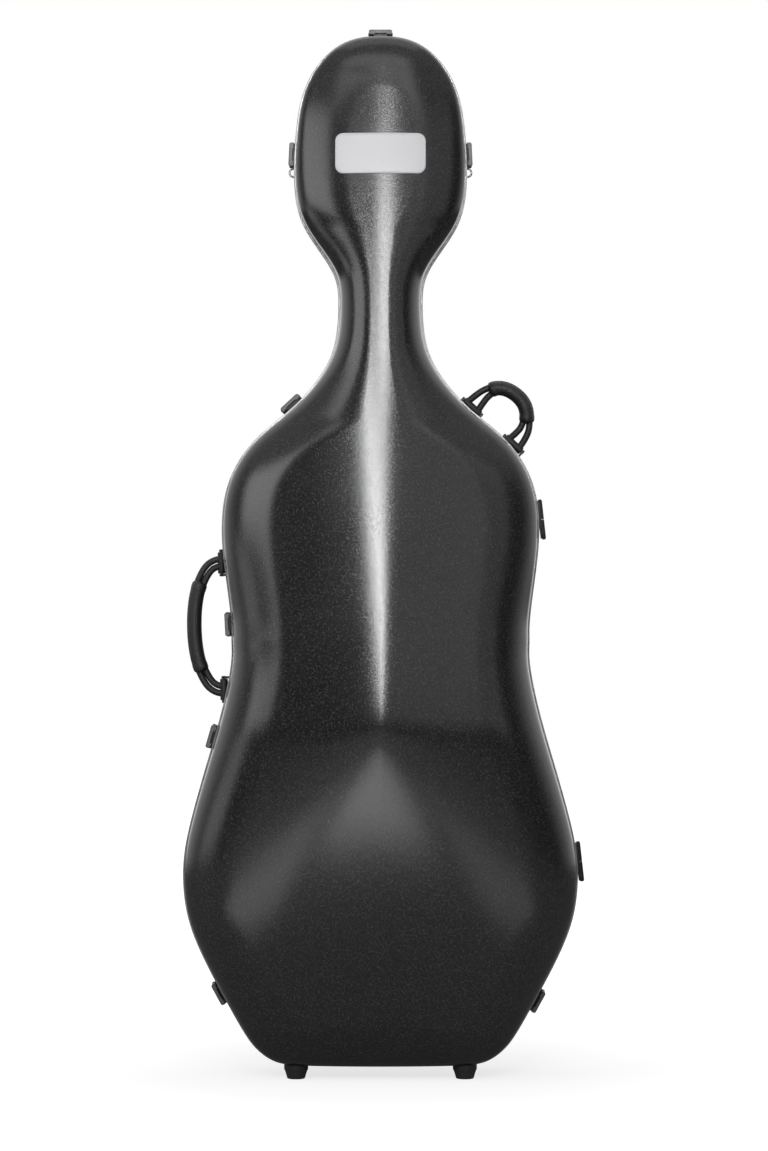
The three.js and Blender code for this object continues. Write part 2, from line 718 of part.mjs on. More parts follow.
const latchShapes = {
  base: shape(latchBase()), lever: shape(latchLever()), keeper: shape(latchKeeper()),
};
const latchPlaces = {
  top: outlineFrame(0),
  head_left: outlineAtHeight(HEAD + LATCH_ABOVE_HEAD, -1),
  head_right: outlineAtHeight(HEAD + LATCH_ABOVE_HEAD, 1),
  shoulder_left: outlineAtHeight(NECK - LATCH_BELOW_NECK, -1),
  upper_side_left: outlineAtHeight(WAIST + LATCH_ABOVE_WAIST, -1),
  lower_side_left: outlineAtHeight(WAIST - LATCH_BELOW_WAIST, -1),
  bottom_left: outlineAtHeight(LOWER_BOUT - LEFT_LATCH_BELOW_LOWER_BOUT, -1),
  bottom_right: outlineAtHeight(LOWER_BOUT - RIGHT_LATCH_BELOW_LOWER_BOUT, 1),
};
for (const [name, frame] of Object.entries(latchPlaces)) {
  const holder = rimGroup(frame, 0, rimStandOff(frame, LATCH_LENGTH));
  add(`latch_base_${name}`, latchShapes.base, latchFinish, holder);
  add(`latch_keeper_${name}`, latchShapes.keeper, latchFinish, holder);
  const lever = add(`latch_lever_${name}`, latchShapes.lever, leverFinish, holder);
  lever.position.set(0, PIVOT_DEPTH, PIVOT_RISE);
}

// The hinge line touches both bouts on the right side, found by sliding two tangent points
function hingeTangent() {
  const samples = [];
  for (let t = 0; t < outline.count / 2; t += 0.1) samples.push(outline.point(t));
  const upper = samples.filter((p) => p.y > WAIST);
  const lower = samples.filter((p) => p.y <= WAIST);
  const furthest = (points, lean) => points.reduce(
    (best, p) => (p.x + lean * p.y > best.x + lean * best.y ? p : best));
  let lean = 0;
  let touch = [];
  for (let pass = 0; pass < 10; pass += 1) {
    touch = [furthest(upper, lean), furthest(lower, lean)];
    lean = (touch[1].x - touch[0].x) / (touch[0].y - touch[1].y);
  }
  const along = touch[1].clone().sub(touch[0]).normalize();
  const outward = new THREE.Vector2(-along.y, along.x);
  return touch.map((point) => ({ point, along, outward }));
}

function hingePin() {
  const half = HINGE_LENGTH / 2 + SEAT_GAP;
  const cap = (from) => bar(0, from, from + HINGE_PIN_HEAD, HINGE_PIN_HEAD_RADIUS, [0, 0]);
  const rod = bar(0, -half - HINGE_PIN_HEAD, half + HINGE_PIN_HEAD, HINGE_PIN_RADIUS, [0, 0]);
  return join(rod, cap(-half - HINGE_PIN_HEAD), cap(half));
}

// Hinge: two leaves with a knuckle each. The pin is riveted in the back leaf's knuckle, and
// the lid leaf's knuckle turns on it
function hingeLeaf(direction, seat) {
  const start = direction > 0 ? 0 : -HINGE_LENGTH / 2;
  const end = start + HINGE_LENGTH / 2 - KNUCKLE_GAP / 2;
  const from = direction > 0 ? start + KNUCKLE_GAP / 2 : start;
  const to = direction > 0 ? HINGE_LENGTH / 2 : end;
  const sorted = (a, b) => [Math.min(a, b), Math.max(a, b)];
  const clearOfKnuckle = KNUCKLE_RADIUS + KNUCKLE_GAP;
  const [plateNear, plateFar] = sorted(direction * clearOfKnuckle, direction * LEAF_END);
  const [webNear, webFar] = sorted(0, direction * (clearOfKnuckle + LEAF_THICKNESS));
  const bottom = seat - HINGE_STAND_OFF;
  const plate = block([-HINGE_LENGTH / 2, plateNear, bottom],
    [HINGE_LENGTH / 2, plateFar, bottom + LEAF_THICKNESS]);
  const web = block([from, webNear, bottom], [to, webFar, -KNUCKLE_RADIUS / 2]);
  const knuckle = bar(0, from, to, KNUCKLE_RADIUS, [0, 0]);
  const leaf = join(plate, web, knuckle);
  if (direction > 0) return leaf.add(hingePin());
  const bore = HINGE_PIN_RADIUS + HINGE_PIN_CLEARANCE;
  return leaf.subtract(bar(0, -HINGE_LENGTH, HINGE_LENGTH, bore, [0, 0]));
}

hingeTangent().forEach((tangent, i) => {
  const name = ['upper', 'lower'][i];
  const drop = [UPPER_HINGE_DROP, LOWER_HINGE_DROP][i];
  const point = tangent.point.clone().addScaledVector(tangent.along, drop);
  const frame = { ...tangent, point };
  const holder = rimGroup(frame, 0, HINGE_STAND_OFF);
  const seat = rimStandOff(frame, HINGE_LENGTH) + SEAT_GAP;
  add(`hinge_back_leaf_${name}`, shape(hingeLeaf(1, seat)), blackSteelFinish, holder);
  add(`hinge_lid_leaf_${name}`, shape(hingeLeaf(-1, seat)), blackSteelFinish, holder);
});

// Feet: a rounded rubber cone under each lower corner of both shells
function foot(x, depth, seat) {
  const profile = [
    [0, 0], [FOOT_TIP_RADIUS - FOOT_ROUND, 0], [FOOT_TIP_RADIUS, FOOT_ROUND],
    [FOOT_TOP_RADIUS, BASE_CLEARANCE], [FOOT_TOP_RADIUS, FOOT_BLANK_HEIGHT],
    [0, FOOT_BLANK_HEIGHT],
  ].map(([radius, height]) => new THREE.Vector2(radius, height));
  const blank = new THREE.LatheGeometry(profile, FINE_SIDES).rotateX(Math.PI / 2);
  return solid(blank.translate(x, PARTING + depth, 0)).subtract(seat);
}
for (const [side, sign] of [['left', -1], ['right', 1]]) {
  const x = (sign * FOOT_SPACING) / 2;
  add(`foot_front_${side}`, shape(foot(x, -FRONT_FOOT_DEPTH, lidSeat)), rubberFinish);
  add(`foot_rear_${side}`, shape(foot(x, REAR_FOOT_DEPTH, backSeat)), rubberFinish);
}

// Badge plate, bent to the lid
function badge() {
  const w = BADGE_WIDTH / 2;
  const h = BADGE_HEIGHT / 2;
  const rounded = new THREE.Shape();
  rounded.absarc(w - BADGE_CORNER, h - BADGE_CORNER, BADGE_CORNER, 0, Math.PI / 2);
  rounded.absarc(BADGE_CORNER - w, h - BADGE_CORNER, BADGE_CORNER, Math.PI / 2, Math.PI);
  rounded.absarc(BADGE_CORNER - w, BADGE_CORNER - h, BADGE_CORNER, Math.PI, Math.PI * 1.5);
  rounded.absarc(w - BADGE_CORNER, BADGE_CORNER - h, BADGE_CORNER, Math.PI * 1.5, Math.PI * 2);
  const blank = new THREE.ExtrudeGeometry(rounded, {
    depth: APEX_DEPTH, bevelEnabled: false, curveSegments: CORNER_STEPS,
  });
  blank.rotateX(Math.PI / 2).translate(0, PARTING, HEAD + BADGE_ABOVE_HEAD);
  return solid(blank).intersect(around(lidSurvey, SEAT_GAP + BADGE_THICKNESS)).subtract(lidSeat);
}
add('badge_plate', shape(badge()), badgeFinish);

// A round section carried along a flat path of [along, rise] points in a rim frame
function strand(path, radius, sides) {
  const rings = path.map((p, i) => {
    const before = path[Math.max(i - 1, 0)];
    const after = path[Math.min(i + 1, path.length - 1)];
    const direction = after.clone().sub(before).normalize();
    const across = new THREE.Vector2(-direction.y, direction.x);
    return Array.from({ length: sides }, (_, k) => {
      const turn = (k / sides) * 2 * Math.PI;
      const flat = p.clone().addScaledVector(across, radius * Math.cos(turn));
      return new THREE.Vector3(flat.x, radius * Math.sin(turn), flat.y);
    });
  });
  const centre = (p) => new THREE.Vector3(p.x, 0, p.y);
  const skin = addRings(new Skin(), rings);
  skin.fan(rings[0], centre(path[0]), true);
  skin.fan(rings.at(-1), centre(path.at(-1)));
  return solid(skin.geometry());
}

// Strap eyes: a wire loop on a small plate, on each side below the head latches
function strapEye(holder) {
  const path = [new THREE.Vector2(-EYE_HALF_SPAN, -EYE_LEG)];
  for (let k = 0; k <= BEND_STEPS; k += 1) {
    const turn = Math.PI * (1 - k / BEND_STEPS);
    path.push(new THREE.Vector2(EYE_HALF_SPAN * Math.cos(turn),
      EYE_RISE - EYE_HALF_SPAN * (1 - Math.sin(turn))));
  }
  path.push(new THREE.Vector2(EYE_HALF_SPAN, -EYE_LEG));
  const away = holder.matrixWorld.clone().invert();
  const local = (body) => solid(shape(body).applyMatrix4(away));
  const plate = block([-EYE_PLATE_LENGTH / 2, -EYE_PLATE_WIDTH / 2, -EYE_LEG],
    [EYE_PLATE_LENGTH / 2, EYE_PLATE_WIDTH / 2, EYE_RISE])
    .intersect(local(around(backSurvey, SEAT_GAP + EYE_PLATE_THICKNESS)));
  return strand(path, EYE_WIRE_RADIUS, STRAND_SIDES).add(plate).subtract(local(backSeat));
}
for (const [side, sign] of [['left', -1], ['right', 1]]) {
  const holder = rimGroup(outlineAtHeight(HEAD + EYE_ABOVE_HEAD, sign), EYE_DEPTH);
  add(`strap_eye_${side}`, shape(strapEye(holder)), steelFinish, holder);
}

// Carrying handle: two anchors on the back shell, a doubled strap looped on their bars and
// a wrapped grip. The strap's path is in shares of the span and of the rise
const sideHandle = {
  name: 'side',
  span: SIDE_HANDLE_SPAN,
  rise: SIDE_HANDLE_RISE,
  barSpread: SIDE_SPREAD_AT_BAR,
  pathShares: [[0, 0], [0.004, 0.2], [0.04, 0.46], [0.12, 0.69], [0.23, 0.87], [0.36, 0.97],
    [0.5, 1], [0.64, 0.97], [0.77, 0.87], [0.88, 0.69], [0.96, 0.46], [0.996, 0.2], [1, 0]],
  gripShares: [0.2, 0.8],
};
const shoulderHandle = {
  name: 'shoulder',
  span: SHOULDER_HANDLE_SPAN,
  rise: SHOULDER_HANDLE_RISE,
  barSpread: SHOULDER_SPREAD_AT_BAR,
  pathShares: [[0, 0], [0, 0.25], [0.02, 0.52], [0.1, 0.8], [0.27, 0.97], [0.5, 1.02],
    [0.7, 0.95], [0.86, 0.76], [0.97, 0.5], [1, 0.25], [1, 0]],
  gripShares: [0.23, 0.76],
};

// The line between a handle's two bars, as a frame at its middle
function handleFrame(height, span, side) {
  const middle = outlineAtHeight(height, side);
  const half = middle.along.clone().multiplyScalar(span / 2);
  const reach = [-1, 1].map((sign) => {
    const end = middle.point.clone().addScaledVector(half, sign);
    return outlineAtHeight(end.y, side).point;
  });
  const along = reach[1].clone().sub(reach[0]).normalize();
  const outward = new THREE.Vector2(-along.y, along.x);
  return { point: reach[0].lerp(reach[1], 0.5), along, outward };
}

function handlePath(handle, spread) {
  const curve = new THREE.SplineCurve(handle.pathShares.map(([along, up]) => new THREE.Vector2(
    (along - 0.5) * handle.span, up * handle.rise)));
  return Array.from({ length: HANDLE_STEPS + 1 }, (_, k) => {
    const share = k / HANDLE_STEPS;
    const p = curve.getPointAt(share);
    const direction = curve.getTangentAt(share);
    const across = new THREE.Vector2(-direction.y, direction.x);
    const [start, end] = handle.gripShares;
    const apart = share < start ? 1 - share / start : Math.max(0, (share - end) / (1 - end));
    return p.addScaledVector(across, spread * lerp(STRAND_SPREAD_AT_GRIP,
      handle.barSpread, apart));
  });
}

function handleStrap(handle) {
  const strands = [-1, 1].map(
    (spread) => strand(handlePath(handle, spread), STRAND_RADIUS, STRAND_SIDES));
  const ends = [-1, 1].map((sign) => {
    const centre = (sign * handle.span) / 2;
    return bar(0, centre - SLEEVE_LENGTH / 2, centre + SLEEVE_LENGTH / 2, SLEEVE_RADIUS, [0, 0]);
  });
  const bore = bar(0, -handle.span, handle.span, BAR_RADIUS + BAR_CLEARANCE, [0, 0], COARSE_SIDES);
  return join(...strands, ...ends).subtract(bore);
}

function handleGrip(handle) {
  const [start, end] = handle.gripShares;
  const run = handlePath(handle, 0).filter(
    (_, k) => k / HANDLE_STEPS >= start && k / HANDLE_STEPS <= end);
  const outer = strand(run, GRIP_RADIUS, FINE_SIDES);
  const bores = [-1, 1].map((spread) => strand(handlePath(handle, spread),
    STRAND_RADIUS + BAR_CLEARANCE, STRAND_SIDES));
  return outer.subtract(join(...bores));
}

function handleAnchor(holder, centre) {
  const away = holder.matrixWorld.clone().invert();
  const local = (body) => solid(shape(body).applyMatrix4(away));
  const inner = SLEEVE_LENGTH / 2 + SEAT_GAP;
  const outer = inner + ANCHOR_EAR;
  const halfPlate = ANCHOR_PLATE_LENGTH / 2;
  const plate = block([centre - halfPlate, -ANCHOR_PLATE_WIDTH / 2, -ANCHOR_BLOCK],
    [centre + halfPlate, ANCHOR_PLATE_WIDTH / 2, ANCHOR_EAR_TOP])
    .intersect(local(around(backSurvey, SEAT_GAP + ANCHOR_PLATE_THICKNESS)));
  const ears = [centre - outer, centre + inner].map((from) => block(
    [from, -ANCHOR_EAR_HALF_DEPTH, -ANCHOR_BLOCK],
    [from + ANCHOR_EAR, ANCHOR_EAR_HALF_DEPTH, ANCHOR_EAR_TOP]));
  const rod = bar(0, centre - outer, centre + outer, BAR_RADIUS, [0, 0], COARSE_SIDES);
  const clearSleeve = bar(0, centre - inner, centre + inner,
    SLEEVE_RADIUS + SEAT_GAP, [0, 0]);
  return join(plate.subtract(clearSleeve), ...ears).subtract(local(backSeat)).add(rod);
}

function addHandle(handle, height, depth, side) {
  const frame = handleFrame(height, handle.span, side);
  const holder = rimGroup(frame, depth, BAR_STAND_OFF);
  const { name, span } = handle;
  const ends = side > 0 ? ['upper', 'lower'] : ['lower', 'upper'];
  ends.forEach((end, i) => {
    const centre = (i - 0.5) * span;
    const anchor = shape(handleAnchor(holder, centre));
    add(`${name}_handle_anchor_${end}`, anchor, blackSteelFinish, holder);
  });
  add(`${name}_handle_strap`, shape(handleStrap(handle)), leatherFinish, holder);
  add(`${name}_handle_grip`, shape(handleGrip(handle)), leatherFinish, holder);
}
addHandle(sideHandle, WAIST + SIDE_HANDLE_ABOVE_WAIST, SIDE_HANDLE_DEPTH, -1);
addHandle(shoulderHandle, NECK - SHOULDER_HANDLE_BELOW_NECK, SHOULDER_HANDLE_DEPTH, 1);

// Inside of the back: neck cradle and strap, upper pads and a base cushion
function neckCradle() {
  const front = PARTING + CRADLE_FRONT;
  const blank = block([-NECK_HALF_WIDTH, front, NECK - CRADLE_LENGTH / 2],
    [NECK_HALF_WIDTH, front + BACK_BODY_DEPTH, NECK + CRADLE_LENGTH / 2]);
  const low = NECK - CRADLE_LENGTH;
  const high = NECK + CRADLE_LENGTH;
  const groove = bar(2, low, high, CRADLE_GROOVE_RADIUS, [0, front + CRADLE_GROOVE_DEPTH]);
  const mouth = block([-CRADLE_GROOVE_RADIUS, front - OVERRUN, low],
    [CRADLE_GROOVE_RADIUS, front + CRADLE_GROOVE_DEPTH, high]);
  return blank.intersect(backRoom).subtract(groove.add(mouth));
}

function neckStrap() {
  const rest = PARTING + CRADLE_FRONT - SEAT_GAP;
  const arch = [];
  for (let k = 0; k <= BEND_STEPS; k += 1) {
    const across = lerp(-1, 1, k / BEND_STEPS);
    arch.push([across * NECK_STRAP_HALF_LENGTH, rest - NECK_STRAP_CROWN * (1 - across ** 2)]);
  }
  const band = [...arch, ...arch.toReversed().map(([x, y]) => [x, y - NECK_STRAP_THICKNESS])];
  const outlineShape = new THREE.Shape(band.map(([x, y]) => new THREE.Vector2(x, y)));
  const geometry = new THREE.ExtrudeGeometry(outlineShape, {
    depth: NECK_STRAP_WIDTH, bevelEnabled: false,
  });
  return geometry.translate(0, 0, NECK - NECK_STRAP_WIDTH / 2);
}

function upperPad(sign) {
  const wall = UPPER_BOUT_HALF_WIDTH - LINED;
  const edges = [sign * (wall - UPPER_PAD_THICKNESS), sign * UPPER_BOUT_HALF_WIDTH];
  const middle = UPPER_BOUT - UPPER_PAD_BELOW_UPPER_BOUT;
  const low = [Math.min(...edges), PARTING + PAD_FRONT, middle - UPPER_PAD_LENGTH / 2];
  const high = [Math.max(...edges), PARTING + PAD_BACK, middle + UPPER_PAD_LENGTH / 2];
  return block(low, high).intersect(backRoom);
}

function baseCushion() {
  const blank = block([-LOWER_BOUT_HALF_WIDTH, PARTING + PAD_FRONT, 0],
    [LOWER_BOUT_HALF_WIDTH, PARTING + PAD_BACK, LOWER_BOUT - BASE_CUSHION_BELOW_LOWER_BOUT]);
  const bodySpace = bar(1, PARTING, PARTING + BACK_BODY_DEPTH, BODY_CLEAR_RADIUS,
    [0, BODY_CLEAR], HOLLOW_SIDES);
  const endpin = bar(2, BASE_CLEARANCE, BODY_CLEAR, ENDPIN_HOLE_RADIUS,
    [0, PARTING + ENDPIN_HOLE_DEPTH]);
  return blank.intersect(backRoom).subtract(bodySpace).subtract(endpin);
}

add('neck_cradle', shape(neckCradle()), cushionFinish);
add('neck_strap', neckStrap(), leatherFinish);
add('upper_pad_left', shape(upperPad(-1)), cushionFinish);
add('upper_pad_right', shape(upperPad(1)), cushionFinish);
add('base_cushion', shape(baseCushion()), cushionFinish);

// Inside of the lid: a rest that holds two bows by turning toggles, and a pocket for their tips
function bowRest() {
  const face = PARTING - BOW_REST_FACE_DEPTH;
  const low = BOW_REST - BOW_REST_LENGTH / 2;
  const high = BOW_REST + BOW_REST_LENGTH / 2;
  const blank = block([-BOW_REST_HALF_WIDTH, PARTING - APEX_DEPTH, low],
    [BOW_REST_HALF_WIDTH, face, high]);
  const cuts = [-1, 1].flatMap((sign) => {
    const bow = (sign * BOW_SPACING) / 2;
    const toggle = (sign * TOGGLE_SPACING) / 2;
    return [
      block([bow - BOW_GROOVE_WIDTH / 2, face - BOW_GROOVE_DEPTH, low - BOW_REST_LENGTH],
        [bow + BOW_GROOVE_WIDTH / 2, face + BOW_GROOVE_DEPTH, high + BOW_REST_LENGTH]),
      bar(1, face - TOGGLE_PIN_LENGTH - SEAT_GAP, face + TOGGLE_PIN_LENGTH,
        TOGGLE_PIN_RADIUS + SEAT_GAP, [toggle, BOW_REST]),
    ];
  });
  return blank.intersect(lidRoom).subtract(join(...cuts));
}

// A toggle's own frame has its origin on its pin, at the rest's face
function toggle() {
  const half = TOGGLE_WIDTH / 2;
  const wing = new THREE.Shape();
  wing.absarc(TOGGLE_LENGTH - TOGGLE_WIDTH, 0, half, -Math.PI / 2, Math.PI / 2);
  wing.absarc(0, 0, half, Math.PI / 2, Math.PI * 1.5);
  const plate = new THREE.ExtrudeGeometry(wing, {
    depth: TOGGLE_THICKNESS, bevelEnabled: false, curveSegments: CORNER_STEPS,
  });
  plate.rotateX(-Math.PI / 2).translate(0, SEAT_GAP, 0);
  const pin = bar(1, -TOGGLE_PIN_LENGTH, SEAT_GAP + TOGGLE_THICKNESS / 2, TOGGLE_PIN_RADIUS,
    [0, 0]);
  return solid(plate).add(pin);
}

function bowPocket() {
  const low = NECK - POCKET_BELOW_NECK - POCKET_LENGTH / 2;
  const high = low + POCKET_LENGTH;
  const face = PARTING - POCKET_FACE_DEPTH;
  const blank = block([-POCKET_HALF_WIDTH, PARTING - APEX_DEPTH, low],
    [POCKET_HALF_WIDTH, face, high]);
  const sockets = [-1, 1].map((sign) => {
    const centre = (sign * SOCKET_SPACING) / 2;
    const front = face - SOCKET_WALL;
    return block([centre - SOCKET_WIDTH / 2, front - SOCKET_THICKNESS, low - SOCKET_DEPTH],
      [centre + SOCKET_WIDTH / 2, front, low + SOCKET_DEPTH]);
  });
  return blank.intersect(lidRoom).subtract(join(...sockets));
}

add('bow_rest', shape(bowRest()), cushionFinish);
add('bow_tip_pocket', shape(bowPocket()), liningFinish);
const toggleShape = shape(toggle());
for (const [side, sign] of [['left', -1], ['right', 1]]) {
  const mesh = add(`bow_toggle_${side}`, toggleShape, latchFinish);
  mesh.position.set((sign * TOGGLE_SPACING) / 2, PARTING - BOW_REST_FACE_DEPTH, BOW_REST);
  if (sign < 0) mesh.rotation.y = Math.PI;
}

export default group;
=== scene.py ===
# %% [markdown]
# # A cello hard case
# The case is two thin moulded shells that meet at a rim. This script loads the measured model
# of the case as a frame, then builds a finely shaped and finished piece for each of its parts
# in the same place. All shapes are written in millimetres and turned into metres when a mesh
# is made, because Blender works in metres.

# %% Load the frame
import json
import math
import bpy
import bmesh
import numpy as np
from mathutils import Matrix, Vector
from mathutils.bvhtree import BVHTree


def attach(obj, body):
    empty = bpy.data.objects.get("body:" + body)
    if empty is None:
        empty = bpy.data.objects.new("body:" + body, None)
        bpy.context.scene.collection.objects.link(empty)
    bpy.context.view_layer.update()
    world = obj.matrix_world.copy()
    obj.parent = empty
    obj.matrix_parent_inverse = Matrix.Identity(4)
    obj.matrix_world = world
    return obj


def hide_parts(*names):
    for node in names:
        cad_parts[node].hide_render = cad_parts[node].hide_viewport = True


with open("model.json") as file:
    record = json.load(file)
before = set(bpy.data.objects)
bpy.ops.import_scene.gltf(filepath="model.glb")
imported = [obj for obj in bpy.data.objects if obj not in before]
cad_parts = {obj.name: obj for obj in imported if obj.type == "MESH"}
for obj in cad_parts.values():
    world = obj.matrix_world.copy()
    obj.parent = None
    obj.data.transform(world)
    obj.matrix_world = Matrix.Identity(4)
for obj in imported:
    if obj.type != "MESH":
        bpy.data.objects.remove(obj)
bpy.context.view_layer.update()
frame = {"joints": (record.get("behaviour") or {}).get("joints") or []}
MM = 0.001

# %% [markdown]
# ## Camera
# A long lens from far away shows a tall object with little distortion, as a catalogue
# photograph does. The camera stands level, in front of the middle of the case.

# %% Camera
PHOTO_WIDTH, PHOTO_HEIGHT = 768, 1151
MM_PER_PIXEL = 1.2888
CASE_CENTRE_PIXEL = (380.5, 1077.5)
CAMERA_DISTANCE = 6200.0
SENSOR = 36.0

camera_data = bpy.data.cameras.new("front_camera")
camera = bpy.data.objects.new("front_camera", camera_data)
bpy.context.collection.objects.link(camera)
camera_data.sensor_fit = "VERTICAL"
camera_data.sensor_height = SENSOR
camera_data.lens = SENSOR * CAMERA_DISTANCE / (PHOTO_HEIGHT * MM_PER_PIXEL)
middle_x = (PHOTO_WIDTH / 2 - CASE_CENTRE_PIXEL[0]) * MM_PER_PIXEL
middle_z = (CASE_CENTRE_PIXEL[1] - PHOTO_HEIGHT / 2) * MM_PER_PIXEL
camera.location = Vector((middle_x, -CAMERA_DISTANCE, middle_z)) * MM
camera.rotation_euler = (math.pi / 2, 0, 0)
camera_data.clip_end = 50
bpy.context.scene.camera = camera
print("camera lens", round(camera_data.lens), "mm")

# %% [markdown]
# ## Outline of the case
# Seen from the front, the case follows a cello: two bouts, a waist, a neck and a head. The
# stations are its widest and narrowest places. The points of one half are written as shares
# of the way from one station to the next, so the outline keeps its character when a station
# moves, and the other half mirrors them.

# %% Outline
STATIONS = {
    "base": (0, 13.5), "lower_bout": (254.7, 258), "waist": (192.3, 562),
    "upper_bout": (204.8, 710), "neck": (54.4, 995), "head": (111.6, 1157), "crown": (0, 1343),
}
SHARES = [
    ("base", "lower_bout", [(0.353, 0.004), (0.526, 0.024), (0.624, 0.09), (0.699, 0.194),
                            (0.801, 0.382), (0.899, 0.579), (0.974, 0.783)]),
    ("lower_bout", "waist", [(0.091, 0.178), (0.412, 0.428), (0.78, 0.691), (0.989, 0.901)]),
    ("waist", "upper_bout", [(0.056, 0.203), (0.656, 0.608)]),
    ("upper_bout", "neck", [(0.065, 0.21), (0.285, 0.393), (0.577, 0.526), (0.816, 0.663),
                            (0.963, 0.817)]),
    ("neck", "head", [(0.098, 0.241), (0.482, 0.463), (0.858, 0.698)]),
    ("head", "crown", [(0.019, 0.312), (0.095, 0.581), (0.274, 0.796), (0.583, 0.953)]),
]
right_half = []
for start, end, shares in SHARES:
    low, high = np.array(STATIONS[start], float), np.array(STATIONS[end], float)
    right_half.append(low)
    right_half += [low + (high - low) * share for share in np.array(shares)]
right_half.append(np.array(STATIONS["crown"], float))
outline_points = np.array(right_half[::-1] + [p * (-1, 1) for p in right_half[1:-1]])
POINT_COUNT = len(outline_points)
print("outline points:", POINT_COUNT)

# %% [markdown]
# ### A curve through the points
# A uniform cubic spline has no corners, but it passes beside its control points. So these are
# solved for: each outline point has to be (control before + 4 * control + control after) / 6.

# %% Spline
weights = np.zeros((POINT_COUNT, POINT_COUNT))
for i in range(POINT_COUNT):
    weights[i, i] = 4 / 6
    weights[i, i - 1] = weights[i, (i + 1) % POINT_COUNT] = 1 / 6
controls = np.linalg.solve(weights, outline_points)


def outline_at(t):
    """Points, directions and outward directions of the outline at the parameters t."""
    t = np.atleast_1d(np.asarray(t, float))
    first = np.floor(t).astype(int)
    u = (t - first)[:, None]
    near = [controls[(first + k - 1) % POINT_COUNT] for k in range(4)]
    point_weights = [(1 - u) ** 3 / 6, (3 * u ** 3 - 6 * u ** 2 + 4) / 6,
                     (-3 * u ** 3 + 3 * u ** 2 + 3 * u + 1) / 6, u ** 3 / 6]
    slope_weights = [-(1 - u) ** 2 / 2, (3 * u ** 2 - 4 * u) / 2,
                     (-3 * u ** 2 + 2 * u + 1) / 2, u ** 2 / 2]
    point = sum(w * c for w, c in zip(point_weights, near))
    along = sum(w * c for w, c in zip(slope_weights, near))
    along /= np.linalg.norm(along, axis=1)[:, None]
    return point, along, np.stack([-along[:, 1], along[:, 0]], 1)


STEPS_PER_POINT = 6
fine = outline_at(np.arange(POINT_COUNT * STEPS_PER_POINT) / STEPS_PER_POINT)
print("outline:", len(fine[0]), "points,", round(np.ptp(fine[0][:, 0]), 1), "mm wide,",
      round(np.ptp(fine[0][:, 1]), 1), "mm tall")

# %% [markdown]
# ## Meshes from rings
# Most pieces of the case are skins: rows of points joined by quads. One helper takes such
# rows, joins them, welds points that meet and makes the faces point outwards. It also puts
# the finish on the mesh and lets it ride on its body of the frame.


# %% Mesh helpers
WELD, SLIVER = 0.002, 0.001


def piece_from(bm, name, material, body, nodes=(), matrix=None, sharp=35):
    """Turns a bmesh in millimetres into a finished piece that rides on a body."""
    bmesh.ops.remove_doubles(bm, verts=bm.verts, dist=WELD)
    bmesh.ops.dissolve_degenerate(bm, edges=bm.edges, dist=SLIVER)
    bmesh.ops.recalc_face_normals(bm, faces=bm.faces)
    mesh = bpy.data.meshes.new(name)
    bm.to_mesh(mesh)
    bm.free()
    mesh.transform(Matrix.Scale(MM, 4) @ (matrix or Matrix.Identity(4)))
    mesh.materials.append(material)
    mesh.polygons.foreach_set("use_smooth", [True] * len(mesh.polygons))
    if sharp:
        mesh.set_sharp_from_angle(angle=math.radians(sharp))
    piece = bpy.data.objects.new(name, mesh)
    bpy.context.collection.objects.link(piece)
    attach(piece, body)
    if nodes:
        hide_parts(*nodes)
    return piece


def add_skin(bm, rings, loop_rings=False, caps=False):
    """Adds rings of points, shaped (rings, points, 3), joined by quads."""
    rings = np.asarray(rings, float)
    rows = [[bm.verts.new(p) for p in ring] for ring in rings]
    pairs = list(zip(rows, rows[1:])) + ([(rows[-1], rows[0])] if loop_rings else [])
    for first, second in pairs:
        for i in range(len(first)):
            j = (i + 1) % len(first)
            bm.faces.new((first[i], first[j], second[j], second[i]))
    if caps:
        bm.faces.new(rows[0][::-1])
        bm.faces.new(rows[-1])
    return bm


def to_space(flat, depth):
    """Outline-plane points and their depths, as points of the case."""
    flat, depth = np.broadcast_arrays(flat, np.asarray(depth, float)[..., None])
    return np.stack([flat[..., 0], depth[..., 0], flat[..., 1]], -1)


print("points nearer than", WELD, "mm are welded")

# %% [markdown]
# ## Depth of the shells
# The lid rises to a rounded ridge along its middle, which is deepest where a hip line crosses
# it and falls away towards the head. Below the hip the lid is one broad sloping panel. The
# back is nearly flat, deep behind the body and shallower behind the neck and head. Depths are
# functions of the place on the case, so walls, linings and ridge all agree on them.

# %% Depth fields
PARTING = 14.5
APEX_DEPTH, APEX = 161.0, 448.0
HEAD_LID_DEPTH, RIDGE_END = 62.0, 1290.0
BASE_LID_DEPTH, BASE = 73.0, 13.5
SIDE_FALL_SHARE = 0.22
SIDE_BOW, BOW_START = 0.0008, 45.0
RIDGE_ROUND = (16.0, 55.0)
HIP_BLEND, HIP_BLEND_PER_MM_ASIDE = 5.0, 0.1
BACK_DEPTHS, BACK_TAPER = (132.0, 84.0), (790.0, 1010.0)
BACK_FALL_SHARE, BACK_ROUND = 0.02, 60.0


def lid_depth(x, z):
    """How far the lid stands in front of the parting, at x and z."""
    along = np.clip((z - APEX) / (RIDGE_END - APEX), 0, 1)
    crest = APEX_DEPTH + (HEAD_LID_DEPTH - APEX_DEPTH) * along
    ridge = RIDGE_ROUND[0] + (RIDGE_ROUND[1] - RIDGE_ROUND[0]) * along
    aside = np.hypot(x, ridge) - ridge
    bow = SIDE_BOW / 2 * np.clip(aside - BOW_START, 0, None) ** 2
    sides = crest - SIDE_FALL_SHARE * aside - bow
    lower = APEX_DEPTH - (APEX_DEPTH - BASE_LID_DEPTH) * (APEX - z) / (APEX - BASE)
    blend = HIP_BLEND + HIP_BLEND_PER_MM_ASIDE * np.abs(x)
    return (sides + lower - np.hypot(sides - lower, blend)) / 2


